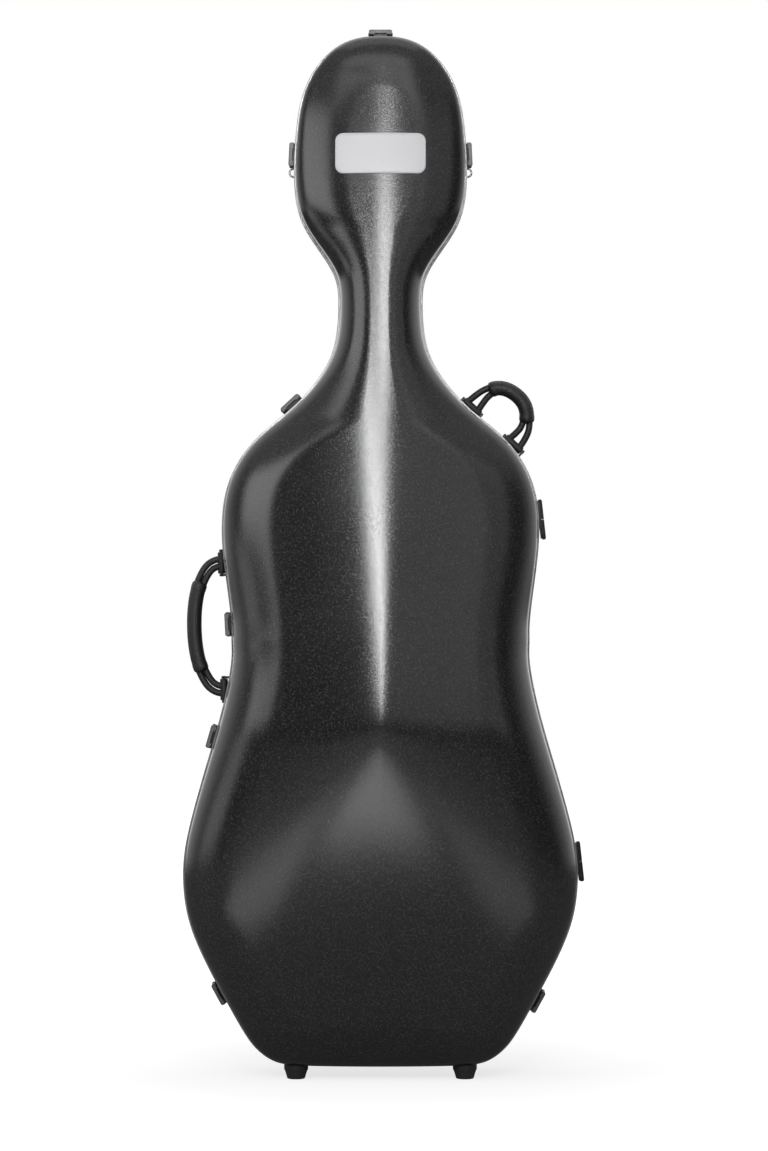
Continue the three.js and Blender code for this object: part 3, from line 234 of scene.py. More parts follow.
def back_depth(x, z):
    """How far the back stands behind the parting, at x and z."""
    u = np.clip((z - BACK_TAPER[0]) / (BACK_TAPER[1] - BACK_TAPER[0]), 0, 1)
    taper = u * u * (3 - 2 * u)
    depth = BACK_DEPTHS[0] + (BACK_DEPTHS[1] - BACK_DEPTHS[0]) * taper
    return depth - BACK_FALL_SHARE * (np.hypot(x, BACK_ROUND) - BACK_ROUND)


# The direction of each shell along Y, its depth and the width of its rolled shoulder
SIDES = {"lid": (-1, lid_depth, 66.0), "back": (1, back_depth, 46.0)}
print("lid ridge stands", round(float(lid_depth(0.0, APEX)), 1), "mm proud of the parting")

# %% [markdown]
# ## Shell surfaces
# Each shell is surveyed as rings of points: from the edge, straight up the wall, over a
# rounded roll and inwards to the spine. Insets of that surface give the inner face of the
# wall and the lining. Normals come from the neighbours of each point.

# %% Survey of a shell
RIM_PROUD, EDGE_START, STRAIGHT_EDGE = 2.0, 3.5, 14.0
WALL_SHARE, WALL_DRAFT_DEGREES = 0.6, 3.0
ROLL_SHARE_LIMIT, REST_CROWDING = 0.8, 1.25
SPINE_RANGE = (118.5, 1238.0)
ROLL_STEPS, REST_STEPS = ((16, 30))


def survey(side):
    """Rings of outer points of a shell, and the outward direction at each."""
    direction, depth, roll_width = SIDES[side]
    point, _, outward = fine
    edge = point - outward * RIM_PROUD
    spine = np.stack([np.zeros(len(edge)), np.clip(edge[:, 1], *SPINE_RANGE)], 1)
    reach = np.linalg.norm(spine - edge, axis=1)
    inward = (spine - edge) / reach[:, None]
    square = -(inward * outward).sum(1)
    wall_top = WALL_SHARE * depth(edge[:, 0], edge[:, 1])
    draft = math.tan(math.radians(WALL_DRAFT_DEGREES))
    roll_start = (wall_top - STRAIGHT_EDGE) * draft / square
    roll = np.minimum(roll_width / square, ROLL_SHARE_LIMIT * (reach - roll_start))

    def ring(distance, height):
        flat = edge + inward * np.asarray(distance)[..., None]
        rise = height(flat) if callable(height) else height
        return to_space(flat, PARTING + direction * (rise * np.ones(len(edge))))

    rings = [ring(0 * reach, EDGE_START), ring(0 * reach, STRAIGHT_EDGE)]
    for share in (0.25, 0.5, 0.75, 1):
        rings.append(ring(roll_start * share, STRAIGHT_EDGE + (wall_top - STRAIGHT_EDGE) * share))
    for k in range(1, ROLL_STEPS + 1):
        turn = k / ROLL_STEPS * math.pi / 2
        rings.append(ring(roll_start + roll * (1 - math.cos(turn)), lambda flat: wall_top + (
            depth(flat[:, 0], flat[:, 1]) - wall_top) * math.sin(turn)))
    rest = reach - roll_start - roll
    for k in range(1, REST_STEPS + 1):
        share = 1 - (1 - k / REST_STEPS) ** REST_CROWDING
        rings.append(ring(roll_start + roll + rest * share,
                          lambda flat: depth(flat[:, 0], flat[:, 1])))
    rings = np.array(rings)
    across = np.gradient(rings, axis=0)
    along = np.roll(rings, -1, 1) - np.roll(rings, 1, 1)
    normals = np.cross(along, across) * direction
    normals[:2] = to_space(outward, 0 * reach)
    z = rings[-1, :, 2]
    slope = depth(0 * z, z + 0.5) - depth(0 * z, z - 0.5)
    normals[-1] = np.stack([0 * z, direction + 0 * z, -slope], 1)
    normals /= np.linalg.norm(normals, axis=2)[:, :, None]
    return rings, normals


surveys = {side: survey(side) for side in SIDES}
for side, (rings, _) in surveys.items():
    print(side, "shell:", rings.shape[0], "rings, from y", round(rings[..., 1].min(), 1), "to",
          round(rings[..., 1].max(), 1))

# %% [markdown]
# ## Finishes
# Every finish is a procedural material: colour, roughness and relief come from noise that is
# fixed to the piece. Effects that several finishes share, such as brushed grain, leather
# grain, plush and handling marks, are node groups that are built once.


# %% Node helpers
def node(tree, kind, inputs=None, **settings):
    """Adds a node, sets its options, and fills its inputs with values or other sockets."""
    made = tree.nodes.new(kind)
    for key, value in settings.items():
        setattr(made, key, value)
    for key, value in (inputs or {}).items():
        if isinstance(value, bpy.types.NodeSocket):
            tree.links.new(value, made.inputs[key])
        else:
            made.inputs[key].default_value = value
    return made


def new_group(name, inputs, outputs):
    """A shader node group with float inputs, given with their defaults, and float outputs."""
    tree = bpy.data.node_groups.new(name, "ShaderNodeTree")
    for label, value in inputs.items():
        socket = tree.interface.new_socket(label, in_out="INPUT", socket_type="NodeSocketFloat")
        socket.default_value = value
    for label in outputs:
        tree.interface.new_socket(label, in_out="OUTPUT", socket_type="NodeSocketFloat")
    return tree, tree.nodes.new("NodeGroupInput").outputs, tree.nodes.new("NodeGroupOutput")


def noise(tree, stretch, scale, detail=2.0, rough=0.5):
    """Noise over the piece, stretched along its axes by three factors."""
    place = node(tree, "ShaderNodeTexCoord").outputs["Object"]
    mapped = node(tree, "ShaderNodeMapping", {"Vector": place, "Scale": stretch})
    return node(tree, "ShaderNodeTexNoise", {
        "Vector": mapped.outputs[0], "Scale": scale, "Detail": detail, "Roughness": rough,
    }).outputs["Fac"]


def spread(tree, value, low, high, bottom=0.0, top=1.0):
    """Stretches the values between low and high over the range from bottom to top."""
    return node(tree, "ShaderNodeMapRange", {
        "Value": value, "From Min": low, "From Max": high, "To Min": bottom, "To Max": top,
    }).outputs[0]


def math_node(tree, operation, first, second):
    """A sum, product or maximum of two values."""
    return node(tree, "ShaderNodeMath", {0: first, 1: second}, operation=operation).outputs[0]


print("node helpers ready")

# %% [markdown]
# ### Moulded grain
# The shells are moulded with a fine mottled texture. An image of it would have to be unwrapped
# over two deep shells, so noise gives the grain instead. A second noise, fifty times coarser,
# gives slow patches of sheen.

# %% Moulded grain
EVEN = (1, 1, 1)
SLOW = 0.02
tree, given, out = new_group("moulded_grain", {"Grains per metre": 450.0}, ("Grain", "Sheen"))
grains = noise(tree, EVEN, given[0], 3.0, 0.7)
tree.links.new(spread(tree, grains, 0.45, 0.7), out.inputs[0])
slow = noise(tree, EVEN, math_node(tree, "MULTIPLY", given[0], SLOW), 2.0)
tree.links.new(spread(tree, slow, 0.3, 0.7), out.inputs[1])
moulded_grain = tree
print("made", moulded_grain.name)

# %% [markdown]
# ### Brushed grain
# Brushed or drawn metal has fine lines. Noise becomes lines when it is stretched far more one
# way than another, so the mapping in front of it uses small factors along the level axes.

# %% Brushed grain
tree, given, out = new_group("brushed_grain", {"Lines per metre": 700.0}, ("Lines", "Sheen"))
fine_lines = noise(tree, (0.35, 0.35, 1.0), given[0], 2.0, 0.6)
wide_lines = noise(tree, (0.01, 0.01, 0.06), given[0], 2.0)
tree.links.new(spread(tree, fine_lines, 0.25, 0.75), out.inputs[0])
tree.links.new(spread(tree, wide_lines, 0.3, 0.7), out.inputs[1])
brushed_grain = tree
print("made", brushed_grain.name)

# %% [markdown]
# ### Leather grain
# Leather shows small rounded cells and longer wrinkles. Smooth Voronoi cells make the first,
# and a noise four times coarser makes the second.

# %% Leather grain
WRINKLE_SHARE = 0.25
tree, given, out = new_group("leather_grain", {"Cells per metre": 700.0}, ("Cells", "Wrinkles"))
place = node(tree, "ShaderNodeTexCoord").outputs["Object"]
cells = node(tree, "ShaderNodeTexVoronoi", {"Vector": place, "Scale": given[0]},
             feature="SMOOTH_F1")
coarse = math_node(tree, "MULTIPLY", given[0], WRINKLE_SHARE)
wrinkles = noise(tree, EVEN, coarse, 4.0, 0.65)
tree.links.new(spread(tree, cells.outputs["Distance"], 0.1, 0.7), out.inputs[0])
tree.links.new(spread(tree, wrinkles, 0.3, 0.7), out.inputs[1])
leather_grain = tree
print("made", leather_grain.name)

# %% [markdown]
# ### Plush and rubber
# Plush is very fine noise, with slow patches where the pile lies another way. Hair strands
# would be truer but far heavier. With a lower bump the same group also gives the dull skin of
# rubber and of cast metal.

# %% Plush
tree, given, out = new_group("plush_pile", {"Tufts per metre": 1400.0}, ("Tufts", "Brushing"))
tufts = noise(tree, EVEN, given[0], 2.0, 0.7)
tree.links.new(spread(tree, tufts, 0.3, 0.7), out.inputs[0])
brushing = noise(tree, EVEN, math_node(tree, "MULTIPLY", given[0], SLOW), 3.0, 0.55)
tree.links.new(spread(tree, brushing, 0.35, 0.65), out.inputs[1])
plush_pile = tree
print("made", plush_pile.name)

# %% [markdown]
# ### Handling marks
# A case that is carried has faint clouds where hands rubbed it and a few scuffs. Both are put
# into every finish, weakly enough to keep the case new.

# %% Handling marks
tree, given, out = new_group("handling_marks", {"Size": 6.0, "Scuffs": 0.10},
                             ("Clouds", "Scuffs"))
clouds = noise(tree, EVEN, given[0], 4.0, 0.6)
scratches = noise(tree, (14, 3, 5), given[0], 5.0, 0.7)
tree.links.new(spread(tree, clouds, 0.3, 0.7), out.inputs[0])
few = spread(tree, scratches, 0.66, 0.78)
tree.links.new(math_node(tree, "MULTIPLY", few, given[1]), out.inputs[1])
handling_marks = tree
print("effect groups:", [group.name for group in bpy.data.node_groups])


# %% [markdown]
# ### A finish from its effects
# Each finish mixes a dark and a light version of its colour by the fine part of its effect
# and by faint clouds. The slow part of the effect and the scuffs vary its roughness, and the
# fine part raises the surface a little through a bump.


# %% Finish maker
SCUFF_ROUGHNESS = 0.25


def finish(name, dark, light, roughness, effect, values=None, bump=(0.0, 0.0), clouds=0.5,
           **sockets):
    """A Principled material whose colour, roughness and relief follow an effect group."""
    made = bpy.data.materials.new(name)
    made.use_nodes = True
    tree = made.node_tree
    shader = tree.nodes["Principled BSDF"]
    detail = node(tree, "ShaderNodeGroup", values, node_tree=effect).outputs
    marks = node(tree, "ShaderNodeGroup", node_tree=handling_marks).outputs
    patch = math_node(tree, "ADD", math_node(tree, "MULTIPLY", marks[0], clouds),
                      math_node(tree, "MULTIPLY", detail[0], 1 - clouds))
    colour = node(tree, "ShaderNodeMix", {"Factor": patch}, data_type="RGBA")
    colour.inputs["A"].default_value = (*dark, 1)
    colour.inputs["B"].default_value = (*light, 1)
    low, high = roughness
    rough = math_node(tree, "ADD", spread(tree, detail[1], 0, 1, low, high),
                      math_node(tree, "MULTIPLY", marks[1], SCUFF_ROUGHNESS))
    tree.links.new(colour.outputs["Result"], shader.inputs["Base Color"])
    tree.links.new(rough, shader.inputs["Roughness"])
    strength, distance = bump
    relief = node(tree, "ShaderNodeBump", {
        "Height": detail[0], "Strength": strength, "Distance": distance})
    tree.links.new(relief.outputs[0], shader.inputs["Normal"])
    for key, value in sockets.items():
        shader.inputs[key.replace("_", " ")].default_value = value
    return made


def grey(value):
    """A grey that leans very slightly to blue."""
    return (value, value, value * 1.03)


print("finish maker ready")

# %% [markdown]
# ### The finishes of this case
# The shells are satin black with a fine mottled grain. The rims are grey anodised metal, the
# latches dark castings, and the badge plate is bare satin aluminium. Each lever has the dark
# finish of the latches with a grey face that stops a little inside the lever's edges, so the
# dark border round the face is painted shade on the lever's rounded edges. Straps and grips
# are black leather, and the inside is charcoal and grey plush.
# Each row gives the dark and the light colour, the range of the roughness and the effect.

# %% Finishes
shell_finish = finish("satin_black_shell", grey(0.001), grey(0.034), (0.18, 0.21),
                      moulded_grain, bump=(0.07, 0.0004), clouds=0.03, IOR=1.65)
rim_finish = finish("anodised_rim", grey(0.28), grey(0.36), (0.26, 0.34), brushed_grain,
                    bump=(0.05, 0.0002), Metallic=0.9)
seal_finish = finish("seal_rubber", grey(0.008), grey(0.014), (0.6, 0.8), plush_pile,
                     {"Tufts per metre": 900.0}, bump=(0.1, 0.0002))
foot_finish = finish("foot_rubber", grey(0.010), grey(0.024), (0.45, 0.62), plush_pile,
                     {"Tufts per metre": 900.0}, bump=(0.15, 0.0003))
latch_finish = finish("latch_casting", grey(0.010), grey(0.022), (0.35, 0.5), plush_pile,
                      {"Tufts per metre": 1500.0}, bump=(0.08, 0.0002), Metallic=0.2)
lever_finish = finish("grey_lever", grey(0.10), grey(0.15), (0.4, 0.5), plush_pile,
                      {"Tufts per metre": 1500.0}, bump=(0.08, 0.0002), Metallic=0.3)
hinge_finish = finish("black_hinge", grey(0.006), grey(0.014), (0.3, 0.45), brushed_grain,
                      bump=(0.05, 0.0002), Metallic=0.3)
wire_finish = finish("bright_wire", grey(0.26), grey(0.34), (0.16, 0.3), brushed_grain,
                     bump=(0.03, 0.0001), Metallic=1.0)
strap_finish = finish("strap_leather", grey(0.006), grey(0.013), (0.45, 0.62), leather_grain,
                      {"Cells per metre": 900.0}, bump=(0.3, 0.0005), clouds=0.3)
grip_finish = finish("grip_leather", grey(0.006), grey(0.015), (0.4, 0.6), leather_grain,
                     {"Cells per metre": 620.0}, bump=(0.45, 0.0007), clouds=0.3)
badge_finish = finish("badge_aluminium", grey(0.60), grey(0.66), (0.5, 0.58), brushed_grain,
                      bump=(0.02, 0.0001), Metallic=0.1)
lining_finish = finish("charcoal_plush", grey(0.018), grey(0.042), (0.85, 0.95), plush_pile,
                       bump=(0.5, 0.0008), Sheen_Weight=0.35, Sheen_Roughness=0.5)
cushion_finish = finish("grey_plush", grey(0.030), grey(0.065), (0.85, 0.95), plush_pile,
                        bump=(0.5, 0.0008), Sheen_Weight=0.4, Sheen_Roughness=0.5)
print("finishes:", len(bpy.data.materials))

# %% [markdown]
# ## Shells
# The outer and inner faces of each shell are one skin, folded over at the edge: rows run from
# the inner spine to the edge and back up the outside. The left and right sides meet at the
# spine, where their points are welded.

# %% Shells
WALL = 3.2


def inset(side, distance, first_ring=0):
    """The surveyed rings of a shell, moved into it."""
    rings, normals = surveys[side]
    return (rings - normals * distance)[first_ring:]


for side, body in (("back", "case_back"), ("lid", "lid")):
    rows = np.concatenate([inset(side, WALL)[::-1], inset(side, 0)])
    shell = piece_from(add_skin(bmesh.new(), rows), f"{side}_shell_moulding", shell_finish,
                       body, [f"{side}_shell"], sharp=60)
    print(side, "shell faces:", len(shell.data.polygons))

# %% [markdown]
# ## Rims and seal
# A rim is a strip with a channel that takes the shell's edge. Its section is written as
# outward and depth pairs with its outer corners rounded, and carried round the outline. The
# seal is a soft strip in the gap between the rims.

# %% Rims and seal
RIM_SECTION = [
    (-0.5, 1.5), (0, 2.0), (0, 11.2), (-0.25, 11.8), (-0.85, 12.0), (-1.7, 12.0), (-1.7, 3.2),
    (-5.5, 3.2), (-5.5, 12.0), (-6.6, 12.0), (-7.2, 11.4), (-7.2, 1.5),
]
SEAL_SECTION = [(-1.6, -1.1), (-1.2, -0.5), (-1.2, 0.5), (-1.6, 1.1), (-6.2, 1.1), (-6.4, 0.6),
                (-6.4, -0.6), (-6.2, -1.1)]


def round_outline(section, direction):
    """A section carried round the outline of the case, one ring for each of its points."""
    point, _, outward = fine
    return np.array([to_space(point + outward * out, PARTING + direction * depth)
                     for out, depth in section])


for side, body, direction in (("back", "case_back", 1), ("lid", "lid", -1)):
    rim = add_skin(bmesh.new(), round_outline(RIM_SECTION, direction), loop_rings=True)
    piece_from(rim, f"{side}_rim_strip", rim_finish, body, [f"{side}_rim"])
seal = add_skin(bmesh.new(), round_outline(SEAL_SECTION, 1), loop_rings=True)
piece_from(seal, "rim_seal_strip", seal_finish, "case_back", ["rim_seal"])
print("rims: 2, seal: 1")

# %% [markdown]
# ## Linings
# A layer of foam faced with plush lies inside each shell, from just above the rim to the
# spine. It is the shell's surface again, moved inwards by the wall and a hair's gap.

# %% Linings
LINING_START, LINING_THICKNESS = WALL + 0.5, 4.0
for side, body in (("back", "case_back"), ("lid", "lid")):
    outer = inset(side, LINING_START, 1)
    inner = inset(side, LINING_START + LINING_THICKNESS, 1)
    lining = piece_from(add_skin(bmesh.new(), np.concatenate([inner[::-1], outer])),
                        f"{side}_plush_lining", lining_finish, body, [f"{side}_lining"])
print("linings:", LINING_THICKNESS, "mm thick")

# %% [markdown]
# ## Places on the rim
# Latches, hinges and handles sit on the rim. Each has a place: a matrix whose X runs along
# the rim, whose Y points backwards and whose Z points outwards. The frame's joints give the
# turning lines, so a place is read from them and the piece needs no fitting.

# %% Places
joints = {joint["name"]: joint for joint in frame["joints"]}


def place_along(along, origin):
    """A place whose X runs along a direction of the outline."""
    along = Vector((along[0], 0, along[1])).normalized()
    outward = Vector((-along.z, 0, along.x))
    matrix = Matrix((along, (0, 1, 0), outward)).transposed().to_4x4()
    matrix.translation = origin
    return matrix


def joint_place(name, back=0.0, out=0.0):
    """The place of a joint, moved backwards and outwards in millimetres."""
    axis, origin = joints[name]["axis"], Vector(joints[name]["pos_m"]) / MM
    matrix = place_along((-axis[0], -axis[2]), origin)
    return matrix @ Matrix.Translation((0, back, out))


def outline_place(height, side, back):
    """A place on the outline at a height, on the left (-1) or right (1) side."""
    t = np.linspace(0, POINT_COUNT / 2, 4001) * side
    point, along, _ = outline_at(t)
    nearest = np.argmin(np.abs(point[:, 1] - height))
    return place_along(along[nearest], (point[nearest, 0], PARTING + back, point[nearest, 1]))


print("joints:", len(joints))

# %% [markdown]
# ## Solids with softened edges
# Cast and stamped hardware has small rounded edges that catch the light. Each solid is an
# outline pushed out along one axis, and a bevel rounds its sharp edges. Real edges are better
# here than a shader's bevel, because they stay when the mesh is exported.

# %% Prisms
SHARP_DEGREES = 35


def keep(bm, solid, bevel=0.0, segments=2):
    """Rounds the sharp edges of a closed solid and adds it to a bmesh."""
    if bevel:
        sharp = math.radians(SHARP_DEGREES)
        edges = [edge for edge in solid.edges if edge.calc_face_angle(0) > sharp]
        bmesh.ops.bevel(solid, geom=edges, offset=bevel, segments=segments, profile=0.5,
                        affect="EDGES", clamp_overlap=True)
    bmesh.ops.recalc_face_normals(solid, faces=solid.faces)
    mesh = bpy.data.meshes.new("solid")
    solid.to_mesh(mesh)
    solid.free()
    bm.from_mesh(mesh)
    bpy.data.meshes.remove(mesh)


def prism(bm, outline, axis, start, end, bevel=0.3, segments=2):
    """An outline in the two other axes, in their order, pushed along an axis."""
    spots = {"x": lambda a, b, c: (c, a, b), "y": lambda a, b, c: (a, c, b),
             "z": lambda a, b, c: (a, b, c)}[axis]
    solid = bmesh.new()
    rings = [[spots(a, b, level) for a, b in outline] for level in (start, end)]
    keep(bm, add_skin(solid, rings, caps=True), bevel, segments)


print("prisms ready")

# %% [markdown]
# ### Outlines for the solids
# Most outlines of the hardware are made of straight runs and arcs. A rod is a prism over a
# full circle, and a rounded rectangle joins four quarter arcs.


# %% Outlines for the solids
def arc(centre, radius, start, end, steps):
    """Points of an arc, with its angles in degrees."""
    turns = np.radians(np.linspace(start, end, steps + 1))
    return [(centre[0] + radius * math.cos(a), centre[1] + radius * math.sin(a)) for a in turns]


def rod(bm, axis, start, end, radius, centre=(0, 0), bevel=0.3, sides=28):
    """A round bar along an axis."""
    prism(bm, arc(centre, radius, 0, 360, sides)[:-1], axis, start, end, bevel)


def rounded_box(half_width, half_height, corner, corner_steps=5, edge_steps=(1, 1)):
    """A rounded rectangle, with points along its level and upright edges too."""
    bends = [arc((sx * (half_width - corner), sy * (half_height - corner)), corner, turn,
                 turn + 90, corner_steps)
             for sx, sy, turn in ((1, 1, 0), (-1, 1, 90), (-1, -1, 180), (1, -1, 270))]
    outline = []
    for k, bend in enumerate(bends):
        last, ahead = np.array(bend[-1]), np.array(bends[(k + 1) % 4][0])
        steps = edge_steps[k % 2]
        outline += bend + [tuple(last + (ahead - last) * i / steps) for i in range(1, steps)]
    return outline


print("a box 4 by 2 mm with round corners has", len(rounded_box(2, 1, 0.5)), "points")

# %% [markdown]
# ## Latches
# Eight draw latches hold the lid. Each has a cast base with two ears on the back rim, a
# cup-shaped lever that turns in the ears, and a keeper on the lid rim. The lever's hook
# reaches over the keeper's ridge and pulls it back. Every piece is a few prisms, written with
# X along the rim, Y backwards and Z outwards.

# %% Latch shapes
LATCH_HALF, PIVOT_BACK, PIVOT_OUT = 15.5, 14.0, 4.3
EAR_THICK = 3


def latch_base(bm):
    """A plate on the rim with two ears that carry the lever's pin."""
    plate = [(x, y + 10.45) for x, y in rounded_box(LATCH_HALF, 8.05, 1.6)]
    prism(bm, plate, "z", -1.6, 1.8, 0.35)
    ear = [(10.4, 1.2), (11.6, 4.3), *arc((PIVOT_BACK, PIVOT_OUT), 2.4, 180, 0, 8)[1:],
           (17.4, 1.2)]
    for start in (-LATCH_HALF, LATCH_HALF - EAR_THICK):
        prism(bm, ear, "x", start, start + EAR_THICK, 0.3)


def latch_lever(bm):
    """A cup with its front wall, the arm to the pin, the hook and the pin itself."""
    crown = [*arc((12.5, 5.1), 2.5, 0, 90, 5), *arc((-12.5, 5.1), 2.5, 90, 180, 5)]
    cup = [(15, 2.4), *crown, (-15, 2.4), (-13.2, 2.4), (-13.2, 4.4), (-12.4, 5.1), (12.4, 5.1),
           (13.2, 4.4), (13.2, 2.4)]
    prism(bm, cup, "y", -12.6, 9, 0.25)
    front = [(15, 1.6), *crown, (-15, 1.6), (-7.2, 1.6), (-7.2, 2.9), (7.2, 2.9), (7.2, 1.6)]
    prism(bm, front, "y", -14, -12.3, 0.45, 3)
    arm = [(7, 5.1), (7, 7.6), (9.4, 7.6), (12.4, 6.8),
           *arc((PIVOT_BACK, PIVOT_OUT), 2.1, 90, -110, 10), (11, 3.6)]
    prism(bm, arm, "x", -12.2, 12.2, 0.3)
    hook = [(-8.4, 5.6), (-8.4, 2.7), (-10, 2.7), (-10.6, 3.4), (-10.6, 5.6)]
    prism(bm, hook, "x", -7.5, 7.5, 0.25)
    rod(bm, "x", -15.9, 15.9, 1.4, (PIVOT_BACK, PIVOT_OUT), 0.4)


def latch_keeper(bm):
    """A block with the ridge that the hook holds."""
    ridge = [(-3.9, -1.6), (-3.9, 1.8), (-5, 1.8), (-5.4, 4.2), (-8, 4.2), (-8, 1.8),
             (-11.4, 1.8), (-11.4, -1.6)]
    prism(bm, ridge, "x", -8.5, 8.5, 0.35)


def grey_face_in_shade_border(bm):
    """The lever's grey face, stopping short of its edges: the dark border is painted shade."""
    crown = [*arc((12.6, 5.1), 1.7, 0, 90, 5), *arc((-12.6, 5.1), 1.7, 90, 180, 5)]
    face = [(14.3, 2.4), *crown, (-14.3, 2.4), (-7.9, 2.4), (-7.9, 3.6), (7.9, 3.6), (7.9, 2.4)]
    prism(bm, face, "y", -14.3, -13.6, 0.2)


print("latch shapes:", 2 * LATCH_HALF, "mm along the rim")

# %% [markdown]
# ### Eight latches
# The same four shapes serve all eight latches, each at the place of its own lever joint. The
# lever and its grey face ride on the lever's body, so they swing together.

# %% Latches
LATCHES = ["top", "head_left", "head_right", "shoulder_left", "upper_side_left",
           "lower_side_left", "bottom_left", "bottom_right"]
for latch in LATCHES:
    spot = joint_place(f"lever_{latch}_pivot", -PIVOT_BACK, -PIVOT_OUT)
    for kind, make, made_of, body, slot in (
            ("base", latch_base, latch_finish, "case_back", "latch"),
            ("keeper", latch_keeper, latch_finish, "lid", "latch"),
            ("lever", latch_lever, latch_finish, f"lever_{latch}", "lever")):
        bm = bmesh.new()
        make(bm)
        piece_from(bm, f"{kind}_{latch}_cast", made_of, body, [f"latch_{kind}_{latch}"], spot)
    # The dark lever shows as a thin border round this grey face: painted shade on the rounded
    # edges.
    bm = bmesh.new()
    grey_face_in_shade_border(bm)
    piece_from(bm, f"lever_face_{latch}", lever_finish, f"lever_{latch}", matrix=spot)
print("latches:", len(LATCHES))

# %% [markdown]
# ## Hinges
# Two hinges on the right side share one straight turning line. Each leaf has its own knuckle
# and three screws, and the pin's heads show at both ends. Screws and pins are turned pieces,
# so a helper for rings round an axis comes first.


# %% Turned pieces
FINE_WELD = 0.0005


def turned(bm, profile, matrix=None, sides=32):
    """A turned piece: radius and height pairs, spun around Z and closed at both ends."""
    turns = np.linspace(0, 2 * math.pi, sides, endpoint=False)
    rings = [[(r * math.cos(a), r * math.sin(a), z) for a in turns] for r, z in profile]
    solid = add_skin(bmesh.new(), rings, caps=True)
    bmesh.ops.remove_doubles(solid, verts=solid.verts, dist=FINE_WELD)
    if matrix:
        solid.transform(matrix)
    keep(bm, solid)


def screw_head(bm, spot, radius=1.9, height=0.6, matrix=None):
    """A low domed screw head with a round socket."""
    profile = [(radius, -0.6), (radius, 0.3 * height), (0.8 * radius, 0.8 * height),
               (0.45 * radius, height), (0.4 * radius, 0.9 * height), (0.38 * radius, 0.1),
               (0.01, 0.05)]
    turned(bm, profile, (matrix or Matrix.Identity(4)) @ Matrix.Translation(spot), 18)


print("turned pieces ready")

# %% [markdown]
# ### Hinge leaves
# A leaf is a screwed plate with a web up to its half of the knuckle. The back leaf also has
# the pin's two heads, since the pin is riveted in it.

# %% Hinges
HINGE_HALF, LEAF_BOTTOM, KNUCKLE_RADIUS = 24.5, -3.1, 2.9
PIN_HEAD_RADIUS, KNUCKLE_GAP = 2.2, 0.2
LEAF_SCREWS = (-17, 0, 17)
LOWER_HINGE_MIDDLE = Vector((257.68, PARTING, 277.83))


def hinge_leaf(bm, direction):
    """The leaf on the back (1) or on the lid (-1)."""
    plate = [(x, direction * (y + 7.45)) for x, y in rounded_box(HINGE_HALF, 4.15, 1.5)]
    prism(bm, plate, "z", LEAF_BOTTOM - 0.9, LEAF_BOTTOM + 1.5, 0.3)
    start, end = KNUCKLE_GAP, HINGE_HALF
    if direction < 0:
        start, end = -HINGE_HALF, -KNUCKLE_GAP
    web = [(0, -2.6), (0, LEAF_BOTTOM), (direction * 5, LEAF_BOTTOM),
           (direction * 5, LEAF_BOTTOM + 1.4), (direction * 3.4, LEAF_BOTTOM + 1.6),
           (direction * 2.5, -1.2)]
    prism(bm, web, "x", start, end, 0.2)
    rod(bm, "x", start, end, KNUCKLE_RADIUS, bevel=0.35)
    for x in LEAF_SCREWS:
        screw_head(bm, (x, direction * 8, LEAF_BOTTOM + 1.5), 1.8, 0.5)
    if direction > 0:
        for side in (-1, 1):
            rod(bm, "x", side * 24, side * 26, PIN_HEAD_RADIUS, bevel=0.6)


lid_line = joint_place("lid_hinge")
lower_line = Matrix.Translation(LOWER_HINGE_MIDDLE - lid_line.translation) @ lid_line
for name, spot in (("upper", lid_line), ("lower", lower_line)):
    for side, direction, body in (("back", 1, "case_back"), ("lid", -1, "lid")):
        bm = bmesh.new()
        hinge_leaf(bm, direction)
        piece_from(bm, f"hinge_{side}_{name}_stamped", hinge_finish, body,
                   [f"hinge_{side}_leaf_{name}"], spot)
print("hinges: 2, apart by", round((lower_line.translation - lid_line.translation).length),
      "mm")

# %% [markdown]
# ## Plates bent to the shell
# The badge, the strap-eye plates and the handle plates follow the curve of the shell under
# them. Their points are dropped on the shell's surface with rays, and lifted by the plate's
# thickness. Rings of points, from the edge to a middle line, keep the plate smooth.

# %% Draped plates
shell_trees = {}
for side, (rings, _) in surveys.items():
    count = rings.shape[1]
    quads = [(r * count + i, r * count + (i + 1) % count, (r + 1) * count + (i + 1) % count,
              (r + 1) * count + i) for r in range(rings.shape[0] - 1) for i in range(count)]
    shell_trees[side] = BVHTree.FromPolygons(rings.reshape(-1, 3).tolist(), quads)


def on_shell(side, matrix, x, y, lift=0.0):
    """The point of a shell under a place's point, lifted off it."""
    down = matrix.to_3x3() @ Vector((0, 0, -1))
    hit, normal, _, _ = shell_trees[side].ray_cast(matrix @ Vector((x, y, 80)), down)
    return hit + normal * (-lift if normal.dot(down) > 0 else lift)


print("shell surfaces ready for plates")

# %% [markdown]
# ### A plate with rounded edges
# The plate's underside is sunk a little into the shell, so no gap shows. Its edge is rounded
# in three steps, and its top is one more set of rings towards the middle line.


# %% Plate maker
def draped_plate(bm, matrix, side, half_width, half_height, corner, thickness, edge_steps,
                 centre=(0, 0), rounding=0.5, sink=0.6):
    """A plate with rounded corners and edges, bent to a shell."""
    def ring(inset, lift, share=1.0):
        edge = np.array(rounded_box(half_width - inset, half_height - inset,
                                    max(corner - inset, 0.01), 5, edge_steps))
        core = np.array(rounded_box(half_width - half_height, 0, 0, 5, edge_steps))
        flat = core + (edge - core) * share + centre
        return [on_shell(side, matrix, x, y, lift) for x, y in flat]

    rings = [ring(0, -sink, share) for share in (0, 0.5, 1)]
    rings += [ring(rounding * (1 - math.sin(a)), thickness - rounding * (1 - math.cos(a)))
              for a in (math.pi / 2, math.pi / 3, math.pi / 6, 0)]
    rings += [ring(rounding, thickness, share) for share in (0.93, 0.85, 0.7, 0.55, 0.4, 0.2, 0)]
    solid = add_skin(bmesh.new(), [[tuple(p) for p in ring] for ring in rings])
    bmesh.ops.remove_doubles(solid, verts=solid.verts, dist=WELD)
    keep(bm, solid)


print("plate maker ready")

